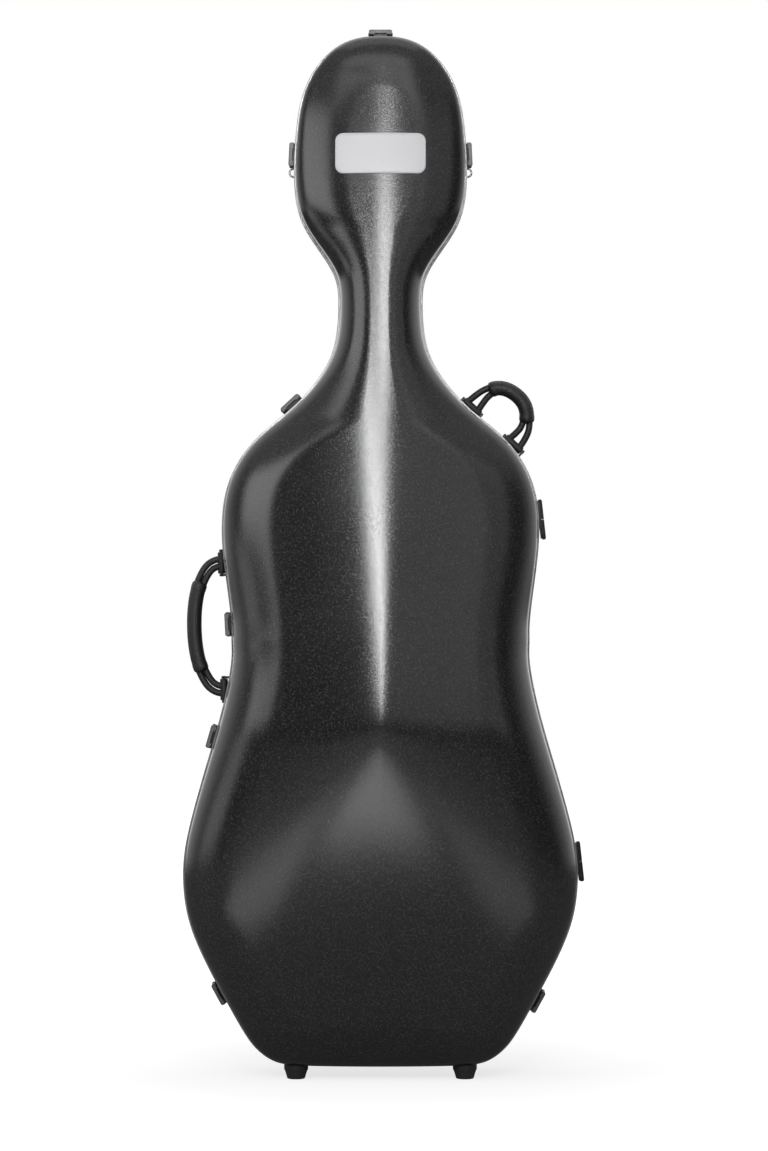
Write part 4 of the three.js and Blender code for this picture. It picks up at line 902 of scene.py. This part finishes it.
# %% [markdown]
# ## Badge plate
# A bare satin plate sits across the head. Its edge is rounded, and a thin raised border runs
# just inside the edge, so the plate reads as stamped metal.

# %% Badge plate
BADGE_HEIGHT = 1186.2
BADGE_HALF_WIDTH, BADGE_HALF_HEIGHT, BADGE_CORNER = 57.5, 26, 10
BADGE_STEPS = (26, 10)
BORDER_SECTION = ((0.9, 1.7), (1.0, 2.25), (1.4, 2.5), (1.9, 2.5), (2.3, 2.25), (2.4, 1.7))
badge_size = (BADGE_HALF_WIDTH, BADGE_HALF_HEIGHT, BADGE_CORNER)


def draped_frame(bm, matrix, side, half_width, half_height, corner, edge_steps):
    """A low rounded border on a plate, as inset and lift pairs carried round the plate."""
    rings = []
    for inset, lift in BORDER_SECTION:
        edge = rounded_box(half_width - inset, half_height - inset, corner - inset, 5,
                           edge_steps)
        rings.append([tuple(on_shell(side, matrix, x, y, lift)) for x, y in edge])
    keep(bm, add_skin(bmesh.new(), rings, loop_rings=True))


badge_place = Matrix(((1, 0, 0, 0), (0, 0, -1, 0), (0, 1, 0, BADGE_HEIGHT), (0, 0, 0, 1)))
bm = bmesh.new()
draped_plate(bm, badge_place, "lid", *badge_size, 2.0, BADGE_STEPS, rounding=0.7)
draped_frame(bm, badge_place, "lid", *badge_size, BADGE_STEPS)
piece_from(bm, "badge_plate_bare", badge_finish, "lid", ["badge_plate"], sharp=0)
print("badge plate at", BADGE_HEIGHT, "mm")

# %% [markdown]
# ## Feet
# Four rubber feet stand under the lower corners. A foot is turned, and its top ring is
# dropped on the shell, so that it closes against the curved underside without a gap.

# %% Feet
FEET = {"front_left": (-108.5, -14.1), "front_right": (108.5, -14.1),
        "rear_left": (-108.5, 76.5), "rear_right": (108.5, 76.5)}
upward = Matrix(((1, 0, 0, 0), (0, 1, 0, 0), (0, 0, -1, 0), (0, 0, 0, 1)))
FOOT_PROFILE = [(0.01, 1.2), (5.5, 1.2), (6.2, 0.2), (7, 0), (9, 0), (10.6, 0.4), (11.6, 1.4),
                (12, 3), (12.9, 6), (13.8, 9), (14.8, 11.4), (15.5, 12.6)]
FOOT_SIDES, FOOT_SINK = 40, 0.8
for foot, (x, y) in FEET.items():
    side = "lid" if foot.startswith("front") else "back"
    turns = np.linspace(0, 2 * math.pi, FOOT_SIDES, endpoint=False)
    rings = [[(x + r * math.cos(a), y + r * math.sin(a), z) for a in turns]
             for r, z in FOOT_PROFILE]
    for radius in (15.5, 8, 0.01):
        rings.append([tuple(on_shell(side, upward, x + radius * math.cos(a),
                                     y + radius * math.sin(a), -FOOT_SINK)) for a in turns])
    bm = add_skin(bmesh.new(), rings)
    piece_from(bm, f"foot_{foot}_moulded", foot_finish,
               "lid" if side == "lid" else "case_back", [f"foot_{foot}"])
print("feet:", len(FEET))

# %% [markdown]
# ## Tubes along a path
# Straps, grips and wire are round sections carried along a flat path in a place. Domed ends
# close them. The radius may change along the path, and the section need not be a circle.


# %% Tube helper
DOME_DEGREES, DOME_DEPTH = [80, 60, 40, 20], 0.6


def tube(bm, path, radius, sides=20, section=None, dome=True):
    """A round section along a path of X and Z points, with domed ends."""
    path = np.array(path, float)
    radius = np.broadcast_to(np.asarray(radius, float), len(path)).copy()
    direction = np.gradient(path, axis=0)
    direction /= np.linalg.norm(direction, axis=1)[:, None]
    if dome:
        steps = np.radians(DOME_DEGREES)
        start = [(path[0] - direction[0] * radius[0] * DOME_DEPTH * math.sin(a), direction[0],
                  radius[0] * math.cos(a)) for a in steps]
        end = [(path[-1] + direction[-1] * radius[-1] * DOME_DEPTH * math.sin(a),
                direction[-1], radius[-1] * math.cos(a)) for a in steps[::-1]]
        path = np.array([s[0] for s in start] + list(path) + [e[0] for e in end])
        direction = np.array([s[1] for s in start] + list(direction) + [e[1] for e in end])
        radius = np.array([s[2] for s in start] + list(radius) + [e[2] for e in end])
    turns = np.linspace(0, 2 * math.pi, sides, endpoint=False)
    shape = np.array([section(a) if section else 1.0 for a in turns])
    rings = []
    for p, d, r in zip(path, direction, radius):
        flat = r * shape * np.cos(turns)
        rings.append(np.stack([p[0] - d[1] * flat, r * shape * np.sin(turns),
                               p[1] + d[0] * flat], 1))
    keep(bm, add_skin(bmesh.new(), rings, caps=True))


print("tube helper ready")

# %% [markdown]
# ## Strap eyes
# A bright wire eye on each side of the head takes a shoulder strap. The wire leaves a small
# plate that is bent to the shell.

# %% Strap eyes
EYE_HEIGHT, EYE_BACK = 1169.0, 24.0
EYE_RADIUS, WIRE_RADIUS = 5.4, 1.3
EYE_PLATE = (9, 5.5, 2.2, 1.8, (6, 4))
for side, sign in (("left", -1), ("right", 1)):
    spot = outline_place(EYE_HEIGHT, sign, EYE_BACK)
    bm = bmesh.new()
    loop = [(-EYE_RADIUS, -6), (-EYE_RADIUS, -3), *arc((0, 0.8), EYE_RADIUS, 180, 0, 18),
            (EYE_RADIUS, -3), (EYE_RADIUS, -6)]
    tube(bm, loop, WIRE_RADIUS, 14)
    bm.transform(spot)
    draped_plate(bm, spot, "back", *EYE_PLATE)
    piece_from(bm, f"strap_eye_{side}_wire", wire_finish, "case_back", [f"strap_eye_{side}"])
print("strap eyes: 2")

# %% [markdown]
# ## Carrying handles
# Each handle is a doubled round strap that loops on two bars, with a wrapped grip around its
# middle. The path of the strap is written as shares of the handle's span and rise, and a
# spline through those points carries two strands that spread apart towards the bars.


# %% Handle paths
STRAND_RADIUS, GRIP_STRAND_OFFSET = 4.3, 4.2


def spline_path(shares, span, rise, steps):
    """Even points along a spline through the shares, and their directions."""
    points = np.array([((a - 0.5) * span, up * rise) for a, up in shares])
    t = np.linspace(0, len(points) - 1, 801)
    first = np.minimum(t.astype(int), len(points) - 2)
    u = (t - first)[:, None]
    near = [points[np.clip(first + k, 0, len(points) - 1)] for k in (-1, 0, 1, 2)]
    leave, arrive = (near[2] - near[0]) / 2, (near[3] - near[1]) / 2
    dense = ((2 * near[1] - 2 * near[2] + leave + arrive) * u ** 3
             + (-3 * near[1] + 3 * near[2] - 2 * leave - arrive) * u ** 2
             + leave * u + near[1])
    walked = np.concatenate([[0], np.cumsum(np.linalg.norm(np.diff(dense, axis=0), axis=1))])
    even = np.linspace(0, walked[-1], steps + 1)
    path = np.stack([np.interp(even, walked, dense[:, k]) for k in (0, 1)], 1)
    direction = np.gradient(path, axis=0)
    return path, direction / np.linalg.norm(direction, axis=1)[:, None], walked[-1]


def handle_strands(handle, steps=72):
    """The middle path of a handle and its two strands, which part outside the grip."""
    path, direction, length = spline_path(handle["shares"], handle["span"], handle["rise"], steps)
    share = np.linspace(0, 1, steps + 1)
    start, end = handle["grip"]
    apart = np.where(share < start, 1 - share / start, np.clip((share - end) / (1 - end), 0, 1))
    offset = (GRIP_STRAND_OFFSET + (handle["spread"] - GRIP_STRAND_OFFSET) * apart)[:, None]
    across = np.stack([-direction[:, 1], direction[:, 0]], 1)
    return path, share, [path + across * offset * sign for sign in (-1, 1)], length


print("strands:", 2 * STRAND_RADIUS, "mm thick")

# %% [markdown]
# ### Sizes of the handles
# The side handle is long and low, and the shoulder handle is a short high loop. Span and rise
# are in millimetres. The grip covers the given shares of the path.

# %% Sizes of the handles
HANDLES = {
    "side": {
        "span": 165, "rise": 37, "grip": (0.2, 0.8), "spread": 4.8,
        "anchors": ("lower", "upper"),
        "shares": [(0, 0), (0.004, 0.2), (0.04, 0.46), (0.12, 0.69), (0.23, 0.87), (0.36, 0.97),
                   (0.5, 1), (0.64, 0.97), (0.77, 0.87), (0.88, 0.69), (0.96, 0.46),
                   (0.996, 0.2), (1, 0)],
    },
    "shoulder": {
        "span": 72, "rise": 49, "grip": (0.23, 0.76), "spread": 9.0,
        "anchors": ("upper", "lower"),
        "shares": [(0, 0), (0, 0.25), (0.02, 0.52), (0.1, 0.8), (0.27, 0.97), (0.5, 1.02),
                   (0.7, 0.95), (0.86, 0.76), (0.97, 0.5), (1, 0.25), (1, 0)],
    },
}
print("handles:", ", ".join(HANDLES))

# %% [markdown]
# ### Grips and stitches
# The grip is a leather wrap with a sewn seam along its outer edge and a thicker binding at
# both ends. Stitches are short capsules along both sides of the seam. They are real geometry,
# because a line of relief in the material would vanish from the grip's outline.

# %% Grips and stitches
GRIP_RADIUS, GRIP_INSET, BINDING_SHARE, BINDING_RISE = 9.3, 0.02, 0.07, 0.35
SEAM_RISE, SEAM_WIDTH = 0.07, 0.13
STITCH_OUT, STITCH_LENGTH, STITCH_ASIDE, STITCH_RADIUS = 9.0, 2.8, 2.6, 0.45


def grip_section(turn):
    """A round section with a low ridge along the outer edge."""
    away = math.atan2(math.sin(turn), math.cos(turn))
    return 1 + SEAM_RISE * math.exp(-(away / SEAM_WIDTH) ** 2)


def handle_grip(bm, path, share, limits):
    """The wrap over the middle of a handle. Gives the path that it covers."""
    start, end = limits[0] + GRIP_INSET, limits[1] - GRIP_INSET
    run = path[(share >= start) & (share <= end)]
    along = np.linspace(0, 1, len(run))
    bound = (along < BINDING_SHARE) | (along > 1 - BINDING_SHARE)
    tube(bm, run, GRIP_RADIUS + np.where(bound, BINDING_RISE, 0), 40, grip_section)
    return run


def stitches(bm, run, spacing=5.0):
    """Two rows of stitches along the seam of a grip."""
    walked = np.concatenate([[0], np.cumsum(np.linalg.norm(np.diff(run, axis=0), axis=1))])
    for s in np.arange(10, walked[-1] - 10, spacing):
        a, b = (np.array([np.interp(s + d, walked, run[:, k]) for k in (0, 1)])
                for d in (0, STITCH_LENGTH))
        ahead = (b - a) / np.linalg.norm(b - a)
        out = np.array([-ahead[1], ahead[0]]) * STITCH_OUT
        for side in (-1, 1):
            stitch = bmesh.new()
            tube(stitch, [a + out, (a + b) / 2 + out * 1.03, b + out], STITCH_RADIUS, 6)
            stitch.transform(Matrix.Translation((0, side * STITCH_ASIDE, 0)))
            keep(bm, stitch)


print("grips:", 2 * GRIP_RADIUS, "mm thick")

# %% [markdown]
# ### Anchors and sleeves
# An anchor is a bent plate with two ears and a bar between them. The strap's loop is wrapped
# round a sleeve that turns on the bar.

# %% Anchors and sleeves
ANCHOR_EAR_OUT, ANCHOR_EAR_THICK, ANCHOR_EAR_HALF, ANCHOR_EAR_SINK = 17.3, 3, 5, 1.2
BAR_HALF, BAR_RADIUS = 17.7, 2
ANCHOR_PLATE = (19, 12, 4, 2.0, (10, 6))
ANCHOR_SCREWS = ((-14.5, 8.6), (14.5, 8.6), (-14.5, -8.6), (14.5, -8.6))


def handle_anchor(bm, spot, centre):
    """Two ears that reach down to the shell, and the bar between them."""
    for start in (centre - ANCHOR_EAR_OUT, centre + ANCHOR_EAR_OUT - ANCHOR_EAR_THICK):
        middle = start + ANCHOR_EAR_THICK / 2
        half = ANCHOR_EAR_HALF
        foot = [(spot.inverted() @ on_shell("back", spot, middle, y, -ANCHOR_EAR_SINK)).z
                for y in (-half, half)]
        ear = [(-half, foot[0]), *arc((-2.8, 1), 2.2, 180, 90, 4),
               *arc((2.8, 1), 2.2, 90, 0, 4), (half, foot[1])]
        prism(bm, ear, "x", start, start + ANCHOR_EAR_THICK, 0.35)
    rod(bm, "x", centre - BAR_HALF, centre + BAR_HALF, BAR_RADIUS, bevel=0.5, sides=24)


def handle_sleeve(bm, centre):
    """The sleeve on a bar, turned round it."""
    profile = [(2.3, -14), (4.4, -14), (5, -13.3), (5.2, -12), (5.25, 0), (5.2, 12), (5, 13.3),
               (4.4, 14), (2.3, 14)]
    turned(bm, profile, Matrix.Translation((centre, 0, 0)) @ Matrix.Rotation(
        math.pi / 2, 4, "Y"), 32)


print("anchors:", 2 * BAR_HALF, "mm wide")

# %% [markdown]
# ### Two handles
# The anchors stay on the back shell, while strap and grip swing on the bars.

# %% Handles
thread_finish = finish("waxed_thread", grey(0.03), grey(0.06), (0.5, 0.7), plush_pile,
                       bump=(0.2, 0.0002))
for name, handle in HANDLES.items():
    spot = joint_place(f"{name}_handle_pivot")
    path, share, strands, length = handle_strands(handle)
    bm = bmesh.new()
    for strand in strands:
        tube(bm, strand, STRAND_RADIUS, 20, dome=False)
    for sign in (-0.5, 0.5):
        handle_sleeve(bm, sign * handle["span"])
    piece_from(bm, f"{name}_handle_round_strap", strap_finish, f"{name}_handle",
               [f"{name}_handle_strap"], spot)
    bm = bmesh.new()
    run = handle_grip(bm, path, share, handle["grip"])
    piece_from(bm, f"{name}_handle_wrapped_grip", grip_finish, f"{name}_handle",
               [f"{name}_handle_grip"], spot)
    bm = bmesh.new()
    stitches(bm, run)
    piece_from(bm, f"{name}_grip_stitches", thread_finish, f"{name}_handle", matrix=spot)
    for k, end in enumerate(handle["anchors"]):
        centre = (k - 0.5) * handle["span"]
        bm = bmesh.new()
        handle_anchor(bm, spot, centre)
        bm.transform(spot)
        draped_plate(bm, spot, "back", *ANCHOR_PLATE, (centre, 0))
        for x, y in ANCHOR_SCREWS:
            base = on_shell("back", spot, centre + x, y, 1.9)
            away = (on_shell("back", spot, centre + x, y, 4) - base).normalized()
            turn = away.to_track_quat("Z", "Y").to_matrix().to_4x4()
            screw_head(bm, (0, 0, 0), 1.9, 0.7, Matrix.Translation(base) @ turn)
        piece_from(bm, f"{name}_anchor_{end}_bent", hinge_finish, "case_back",
                   [f"{name}_handle_anchor_{end}"])
    print(name, "handle strap:", round(length), "mm along its path")

# %% [markdown]
# ## Padded pieces inside
# Cradle, pads and cushions are foam under plush. Each starts as the measured solid, drawn in a
# little. Its mesh is rebuilt with even faces, and a short cloth simulation with air pressure
# inside lets it swell into a soft crowned form. A limit on how far a point may move keeps the
# pad in its place. First come the helpers that read a shape under its modifiers and keep it.

# %% Shapes under modifiers
AIR_PRESSURE, CLOTH_STIFFNESS, SWELL_FRAMES = 4, 15.0, 20


def evaluated_points(piece):
    """The points of a piece under its modifiers, in metres."""
    shown = piece.evaluated_get(bpy.context.evaluated_depsgraph_get())
    mesh = shown.to_mesh()
    points = np.empty(len(mesh.vertices) * 3)
    mesh.vertices.foreach_get("co", points)
    shown.to_mesh_clear()
    return points.reshape(-1, 3)


def apply_shape(piece):
    """Replaces a piece's mesh by its shape under its modifiers."""
    shown = piece.evaluated_get(bpy.context.evaluated_depsgraph_get())
    mesh = bpy.data.meshes.new_from_object(shown)
    old, piece.data = piece.data, mesh
    piece.modifiers.clear()
    bpy.data.meshes.remove(old)
    mesh.name = piece.name


def swell(pad, limit):
    """Blows a pad out as cloth with air inside, and holds each point within the limit."""
    mesh = pad.data
    before = np.array([v.co[:] for v in mesh.vertices])
    cloth = pad.modifiers.new("swell", "CLOTH")
    cloth.settings.use_pressure = True
    cloth.settings.uniform_pressure_force = AIR_PRESSURE
    cloth.settings.tension_stiffness = CLOTH_STIFFNESS
    cloth.settings.compression_stiffness = CLOTH_STIFFNESS
    cloth.settings.effector_weights.gravity = 0
    cloth.settings.quality = 5
    cloth.point_cache.frame_end = SWELL_FRAMES
    for frame_number in range(1, SWELL_FRAMES + 1):
        bpy.context.scene.frame_set(frame_number)
    after = evaluated_points(pad)
    bpy.context.scene.frame_set(1)
    pad.modifiers.remove(cloth)
    move = after - before
    length = np.linalg.norm(move, axis=1)[:, None]
    capped = before + move * np.minimum(1, limit * MM / np.maximum(length, 1e-9))
    mesh.vertices.foreach_set("co", capped.ravel())


print("cloth swells for", SWELL_FRAMES, "frames")

# %% [markdown]
# ### A pad from a solid
# The voxel remesh gives faces of one size, which cloth needs to swell evenly. Smoothing rounds
# the solid's edges before the air goes in, and a subdivision refines the result.


# %% Pads
def padded_copy(node_name, name, material, body, voxel=5.0, shrink=2.0,
                limit=6.0):
    """A soft copy of a node's solid: even faces, drawn in, smoothed and swollen."""
    source = bpy.data.objects[node_name]
    bm = bmesh.new()
    bm.from_mesh(source.data)
    bmesh.ops.remove_doubles(bm, verts=bm.verts, dist=1e-5)
    mesh = bpy.data.meshes.new(name)
    bm.to_mesh(mesh)
    bm.free()
    pad = bpy.data.objects.new(name, mesh)
    bpy.context.collection.objects.link(pad)
    mesh.remesh_voxel_size = voxel * MM
    with bpy.context.temp_override(object=pad, active_object=pad, selected_objects=[pad]):
        bpy.ops.object.voxel_remesh()
    mesh = pad.data
    points = np.empty(len(mesh.vertices) * 3)
    mesh.vertices.foreach_get("co", points)
    normals = np.array([v.normal[:] for v in mesh.vertices])
    start = points.reshape(-1, 3) - normals * shrink * MM
    mesh.vertices.foreach_set("co", start.ravel())
    soften = pad.modifiers.new("soften", "SMOOTH")
    soften.factor, soften.iterations = 0.5, 6
    apply_shape(pad)
    swell(pad, limit)
    smooth = pad.modifiers.new("smooth", "SUBSURF")
    smooth.levels = smooth.render_levels = 1
    apply_shape(pad)
    pad.data.materials.clear()
    pad.data.materials.append(material)
    pad.data.polygons.foreach_set("use_smooth", [True] * len(pad.data.polygons))
    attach(pad, body)
    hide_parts(node_name)
    print(name, len(pad.data.polygons), "faces")


# %% [markdown]
# ## Cushions of the back
# The cradle holds the neck, two pads hold the upper bouts and a shaped cushion holds the
# lower bouts.

# %% Cushions of the back
padded_copy("neck_cradle", "neck_cradle_pad", cushion_finish, "case_back")
for side in ("left", "right"):
    padded_copy(f"upper_pad_{side}", f"upper_pad_{side}_foam", cushion_finish, "case_back")
padded_copy("base_cushion", "base_cushion_foam", cushion_finish, "case_back",
            voxel=6.0)

# %% [markdown]
# ## Holders in the lid
# A padded bar with two grooves holds two bows, and a pocket higher up takes their tips.

# %% Holders in the lid
padded_copy("bow_rest", "bow_rest_pad", cushion_finish, "lid", voxel=4.0,
            shrink=1.5, limit=5.0)
padded_copy("bow_tip_pocket", "bow_tip_pocket_pad", lining_finish, "lid",
            voxel=4.0, shrink=1.5, limit=5.0)

# %% [markdown]
# ## Neck strap
# A flat woven strap closes over the neck in its cradle. It is a thin band, so it is modelled
# directly: an arched section pushed along the neck, with rows of stitches at both ends.

# %% Neck strap
STRAP_HALF, STRAP_CROWN, STRAP_REST, STRAP_THICK = 38.0, 6.0, 31.2, 2.4
STRAP_MIDDLE, STRAP_WIDE = 995.0, 26.0
STITCH_COLUMNS, STITCH_STEP, THREAD_LENGTH, THREAD_HALF = (-34, -29, 29, 34), 3.0, 2.0, 0.35
web_finish = finish("woven_web", grey(0.012), grey(0.03), (0.7, 0.85), plush_pile,
                    {"Tufts per metre": 1100.0}, bump=(0.4, 0.0004))


def strap_y(x):
    """The depth of the strap's arch at x."""
    return STRAP_REST - STRAP_CROWN * (1 - (x / STRAP_HALF) ** 2)


xs = np.linspace(-STRAP_HALF, STRAP_HALF, 33)
band = [(x, strap_y(x)) for x in xs] + [(x, strap_y(x) - STRAP_THICK) for x in xs[::-1]]
bm = bmesh.new()
prism(bm, band, "z", STRAP_MIDDLE - STRAP_WIDE / 2, STRAP_MIDDLE + STRAP_WIDE / 2, 0.6)
piece_from(bm, "neck_strap_web", web_finish, "case_back", ["neck_strap"])
bm = bmesh.new()
for x in STITCH_COLUMNS:
    for z in np.arange(STRAP_MIDDLE - 11, STRAP_MIDDLE + 10, STITCH_STEP):
        y = strap_y(x) - STRAP_THICK - 0.05
        left, right = x - THREAD_HALF, x + THREAD_HALF
        thread = [(left, y - 0.25), (right, y - 0.25), (right, y + 0.3), (left, y + 0.3)]
        prism(bm, thread, "z", z, z + THREAD_LENGTH, 0.12)
piece_from(bm, "neck_strap_stitches", thread_finish, "case_back")
print("neck strap:", 2 * STRAP_HALF, "mm across")

# %% [markdown]
# ## Toggles
# Two toggles on the bow rest turn across the grooves to hold the bows. Each is a rounded tab
# on a pin with a domed head.

# %% Toggles
TOGGLE_LENGTH, TOGGLE_RADIUS = 34, 6
for side, sign in (("left", -1), ("right", 1)):
    spot = Matrix.Translation(Vector(joints[f"toggle_{side}_pivot"]["pos_m"]) / MM)
    if sign < 0:
        spot = spot @ Matrix.Rotation(math.pi, 4, "Y")
    tab = [*arc((TOGGLE_LENGTH, 0), TOGGLE_RADIUS, -90, 90, 12),
           *arc((0, 0), TOGGLE_RADIUS, 90, 270, 12)]
    bm = bmesh.new()
    prism(bm, tab, "y", 0.3, 5.3, 1.1, 3)
    turned(bm, [(3, -14), (3, 5), (3.6, 5.2), (3.4, 5.8), (2.2, 6.3), (0.01, 6.5)],
           Matrix.Rotation(-math.pi / 2, 4, "X"), 24)
    piece_from(bm, f"bow_toggle_{side}_moulded", foot_finish, f"toggle_{side}",
               [f"bow_toggle_{side}"], spot)
print("toggles: 2")

# %% [markdown]
# ## Floor
# The floor is pale and diffuse, so the case stands on a soft shadow. To the camera it also
# glows, less near the case, which takes it to the white of a catalogue picture without more
# light on the case.

# %% Floor
FLOOR_HALF = 9
corners = [(x * FLOOR_HALF, y * FLOOR_HALF, 0) for x, y in ((-1, -1), (1, -1), (1, 1), (-1, 1))]
floor_mesh = bpy.data.meshes.new("studio_floor")
floor_mesh.from_pydata(corners, [], [(0, 1, 2, 3)])
floor = bpy.data.objects.new("studio_floor", floor_mesh)
bpy.context.collection.objects.link(floor)
floor_finish = bpy.data.materials.new("pale_floor")
floor_finish.use_nodes = True
tree = floor_finish.node_tree
shader = tree.nodes["Principled BSDF"]
shader.inputs["Roughness"].default_value = 0.9
shader.inputs["Specular IOR Level"].default_value = 0.1
patchy = noise(tree, EVEN, 3.0, 3.0)
tone = node(tree, "ShaderNodeMix", {"Factor": patchy}, data_type="RGBA")
tone.inputs["A"].default_value = (0.34, 0.34, 0.34, 1)
tone.inputs["B"].default_value = (0.38, 0.38, 0.38, 1)
tree.links.new(tone.outputs["Result"], shader.inputs["Base Color"])
shader.inputs["Emission Color"].default_value = (1, 1, 1, 1)
rays = node(tree, "ShaderNodeLightPath").outputs
spot = node(tree, "ShaderNodeTexCoord").outputs["Object"]
away = node(tree, "ShaderNodeVectorMath", {0: spot}, operation="LENGTH").outputs["Value"]
glow = spread(tree, away, 0.25, 1.2, 0.75, 1.0)
tree.links.new(math_node(tree, "MULTIPLY", rays["Is Camera Ray"], glow),
               shader.inputs["Emission Strength"])
floor_mesh.materials.append(floor_finish)
print("floor:", 2 * FLOOR_HALF, "m square")

# %% [markdown]
# ## Backdrop
# The world is white for the camera and for gloss seen against the backdrop, dim for diffuse
# light, and dark in front, as a studio is, so that the black shell stays black. The light
# path tells these kinds of rays apart.

# %% Backdrop
AMBIENT, FRONT_GLOSS, SKY_GLOSS, BACK_GLOSS = 0.25, 0.08, 0.5, 1.0
world = bpy.data.worlds.new("studio")
bpy.context.scene.world = world
world.use_nodes = True
tree = world.node_tree
tree.nodes.clear()
rays = node(tree, "ShaderNodeLightPath").outputs
direction = node(tree, "ShaderNodeTexCoord").outputs["Generated"]
split = node(tree, "ShaderNodeSeparateXYZ", {"Vector": direction}).outputs
behind = spread(tree, split["Y"], -0.15, 0.35, FRONT_GLOSS, BACK_GLOSS)
above = spread(tree, split["Z"], 0.25, 0.55, FRONT_GLOSS, SKY_GLOSS)
gloss = math_node(tree, "MAXIMUM", behind, above)
seen = math_node(tree, "MAXIMUM", rays["Is Camera Ray"], rays["Is Transmission Ray"])
level = node(tree, "ShaderNodeMix", {0: rays["Is Glossy Ray"], 2: AMBIENT, 3: gloss},
             data_type="FLOAT").outputs[0]
level = node(tree, "ShaderNodeMix", {0: seen, 2: level, 3: 1.0}, data_type="FLOAT").outputs[0]
background = node(tree, "ShaderNodeBackground", {"Color": (1, 1, 1, 1), "Strength": level})
node(tree, "ShaderNodeOutputWorld", {"Surface": background.outputs[0]})
print("world nodes:", len(tree.nodes))

# %% [markdown]
# ## Lamps
# Softboxes shape the black shell by their reflections. A leaning strip in front, and a second
# one above it, draw the bright line on the ridge. Dimmer boxes give each side panel its tone,
# a high box lights the head, and cards on the floor are seen in the sloping panel below the
# hip. The camera does not see the lamps. A lamp's power is its radiance times pi and its area.

# %% Lamps
# Place and target in metres, size in metres, radiance, and a lean in degrees round the beam
LAMPS = {
    "ridge_lower": ((-0.27, -3.85, 1.61), (0, 0, 0.65), (0.32, 1.6), 29.0, 70),
    "ridge_upper": ((0.22, -3.75, 2.14), (0, 0, 1.0), (0.7, 0.32), 27.0, 0),
    "right_near": ((1.6, -3.5, 1.85), (0, 0, 0.8), (1.2, 2.2), 0.5, 0),
    "right_far": ((2.8, -2.6, 1.7), (0, 0, 0.8), (2.4, 1.8), 0.4, 0),
    "left_box": ((-3.3, -2.0, 1.87), (0, 0, 0.75), (2.5, 1.45), 2.3, 0),
    "left_low": ((-3.8, -0.9, 0.6), (0, 0, 0.6), (1.2, 0.7), 1.2, 0),
    "head_box": ((-0.3, -3.5, 3.4), (0, 0, 1.2), (5.0, 1.2), 1.0, 0),
    "middle_card": ((-0.02, -0.92, 0.03), (-0.02, -0.93, 1.0), (0.26, 0.4), 2.8, 0),
    "left_card": ((-0.46, -0.8, 0.03), (-0.46, -0.81, 1.0), (0.5, 0.6), 1.1, 0),
    "right_card": ((0.46, -0.8, 0.03), (0.46, -0.81, 1.0), (0.5, 0.6), 0.5, 0),
    "top_box": ((0.0, 0.3, 3.4), (0, 0, 0.0), (3.0, 3.0), 0.6, 0),
}
for name, (place, target, size, radiance, lean) in LAMPS.items():
    lamp_data = bpy.data.lights.new(name, "AREA")
    lamp_data.shape, lamp_data.size, lamp_data.size_y = "RECTANGLE", size[0], size[1]
    lamp_data.energy = radiance * math.pi * size[0] * size[1]
    lamp = bpy.data.objects.new(name, lamp_data)
    bpy.context.collection.objects.link(lamp)
    lamp.location = place
    lamp.visible_camera = False
    aim = (Vector(target) - Vector(place)).to_track_quat("-Z", "Y").to_matrix()
    lamp.rotation_euler = (aim @ Matrix.Rotation(math.radians(lean), 3, "Z")).to_euler()
print("lamps:", ", ".join(LAMPS))

# %% [markdown]
# ## Finish
# The colours are shown as they are.

# %% Finish
bpy.context.scene.view_settings.view_transform = "Standard"
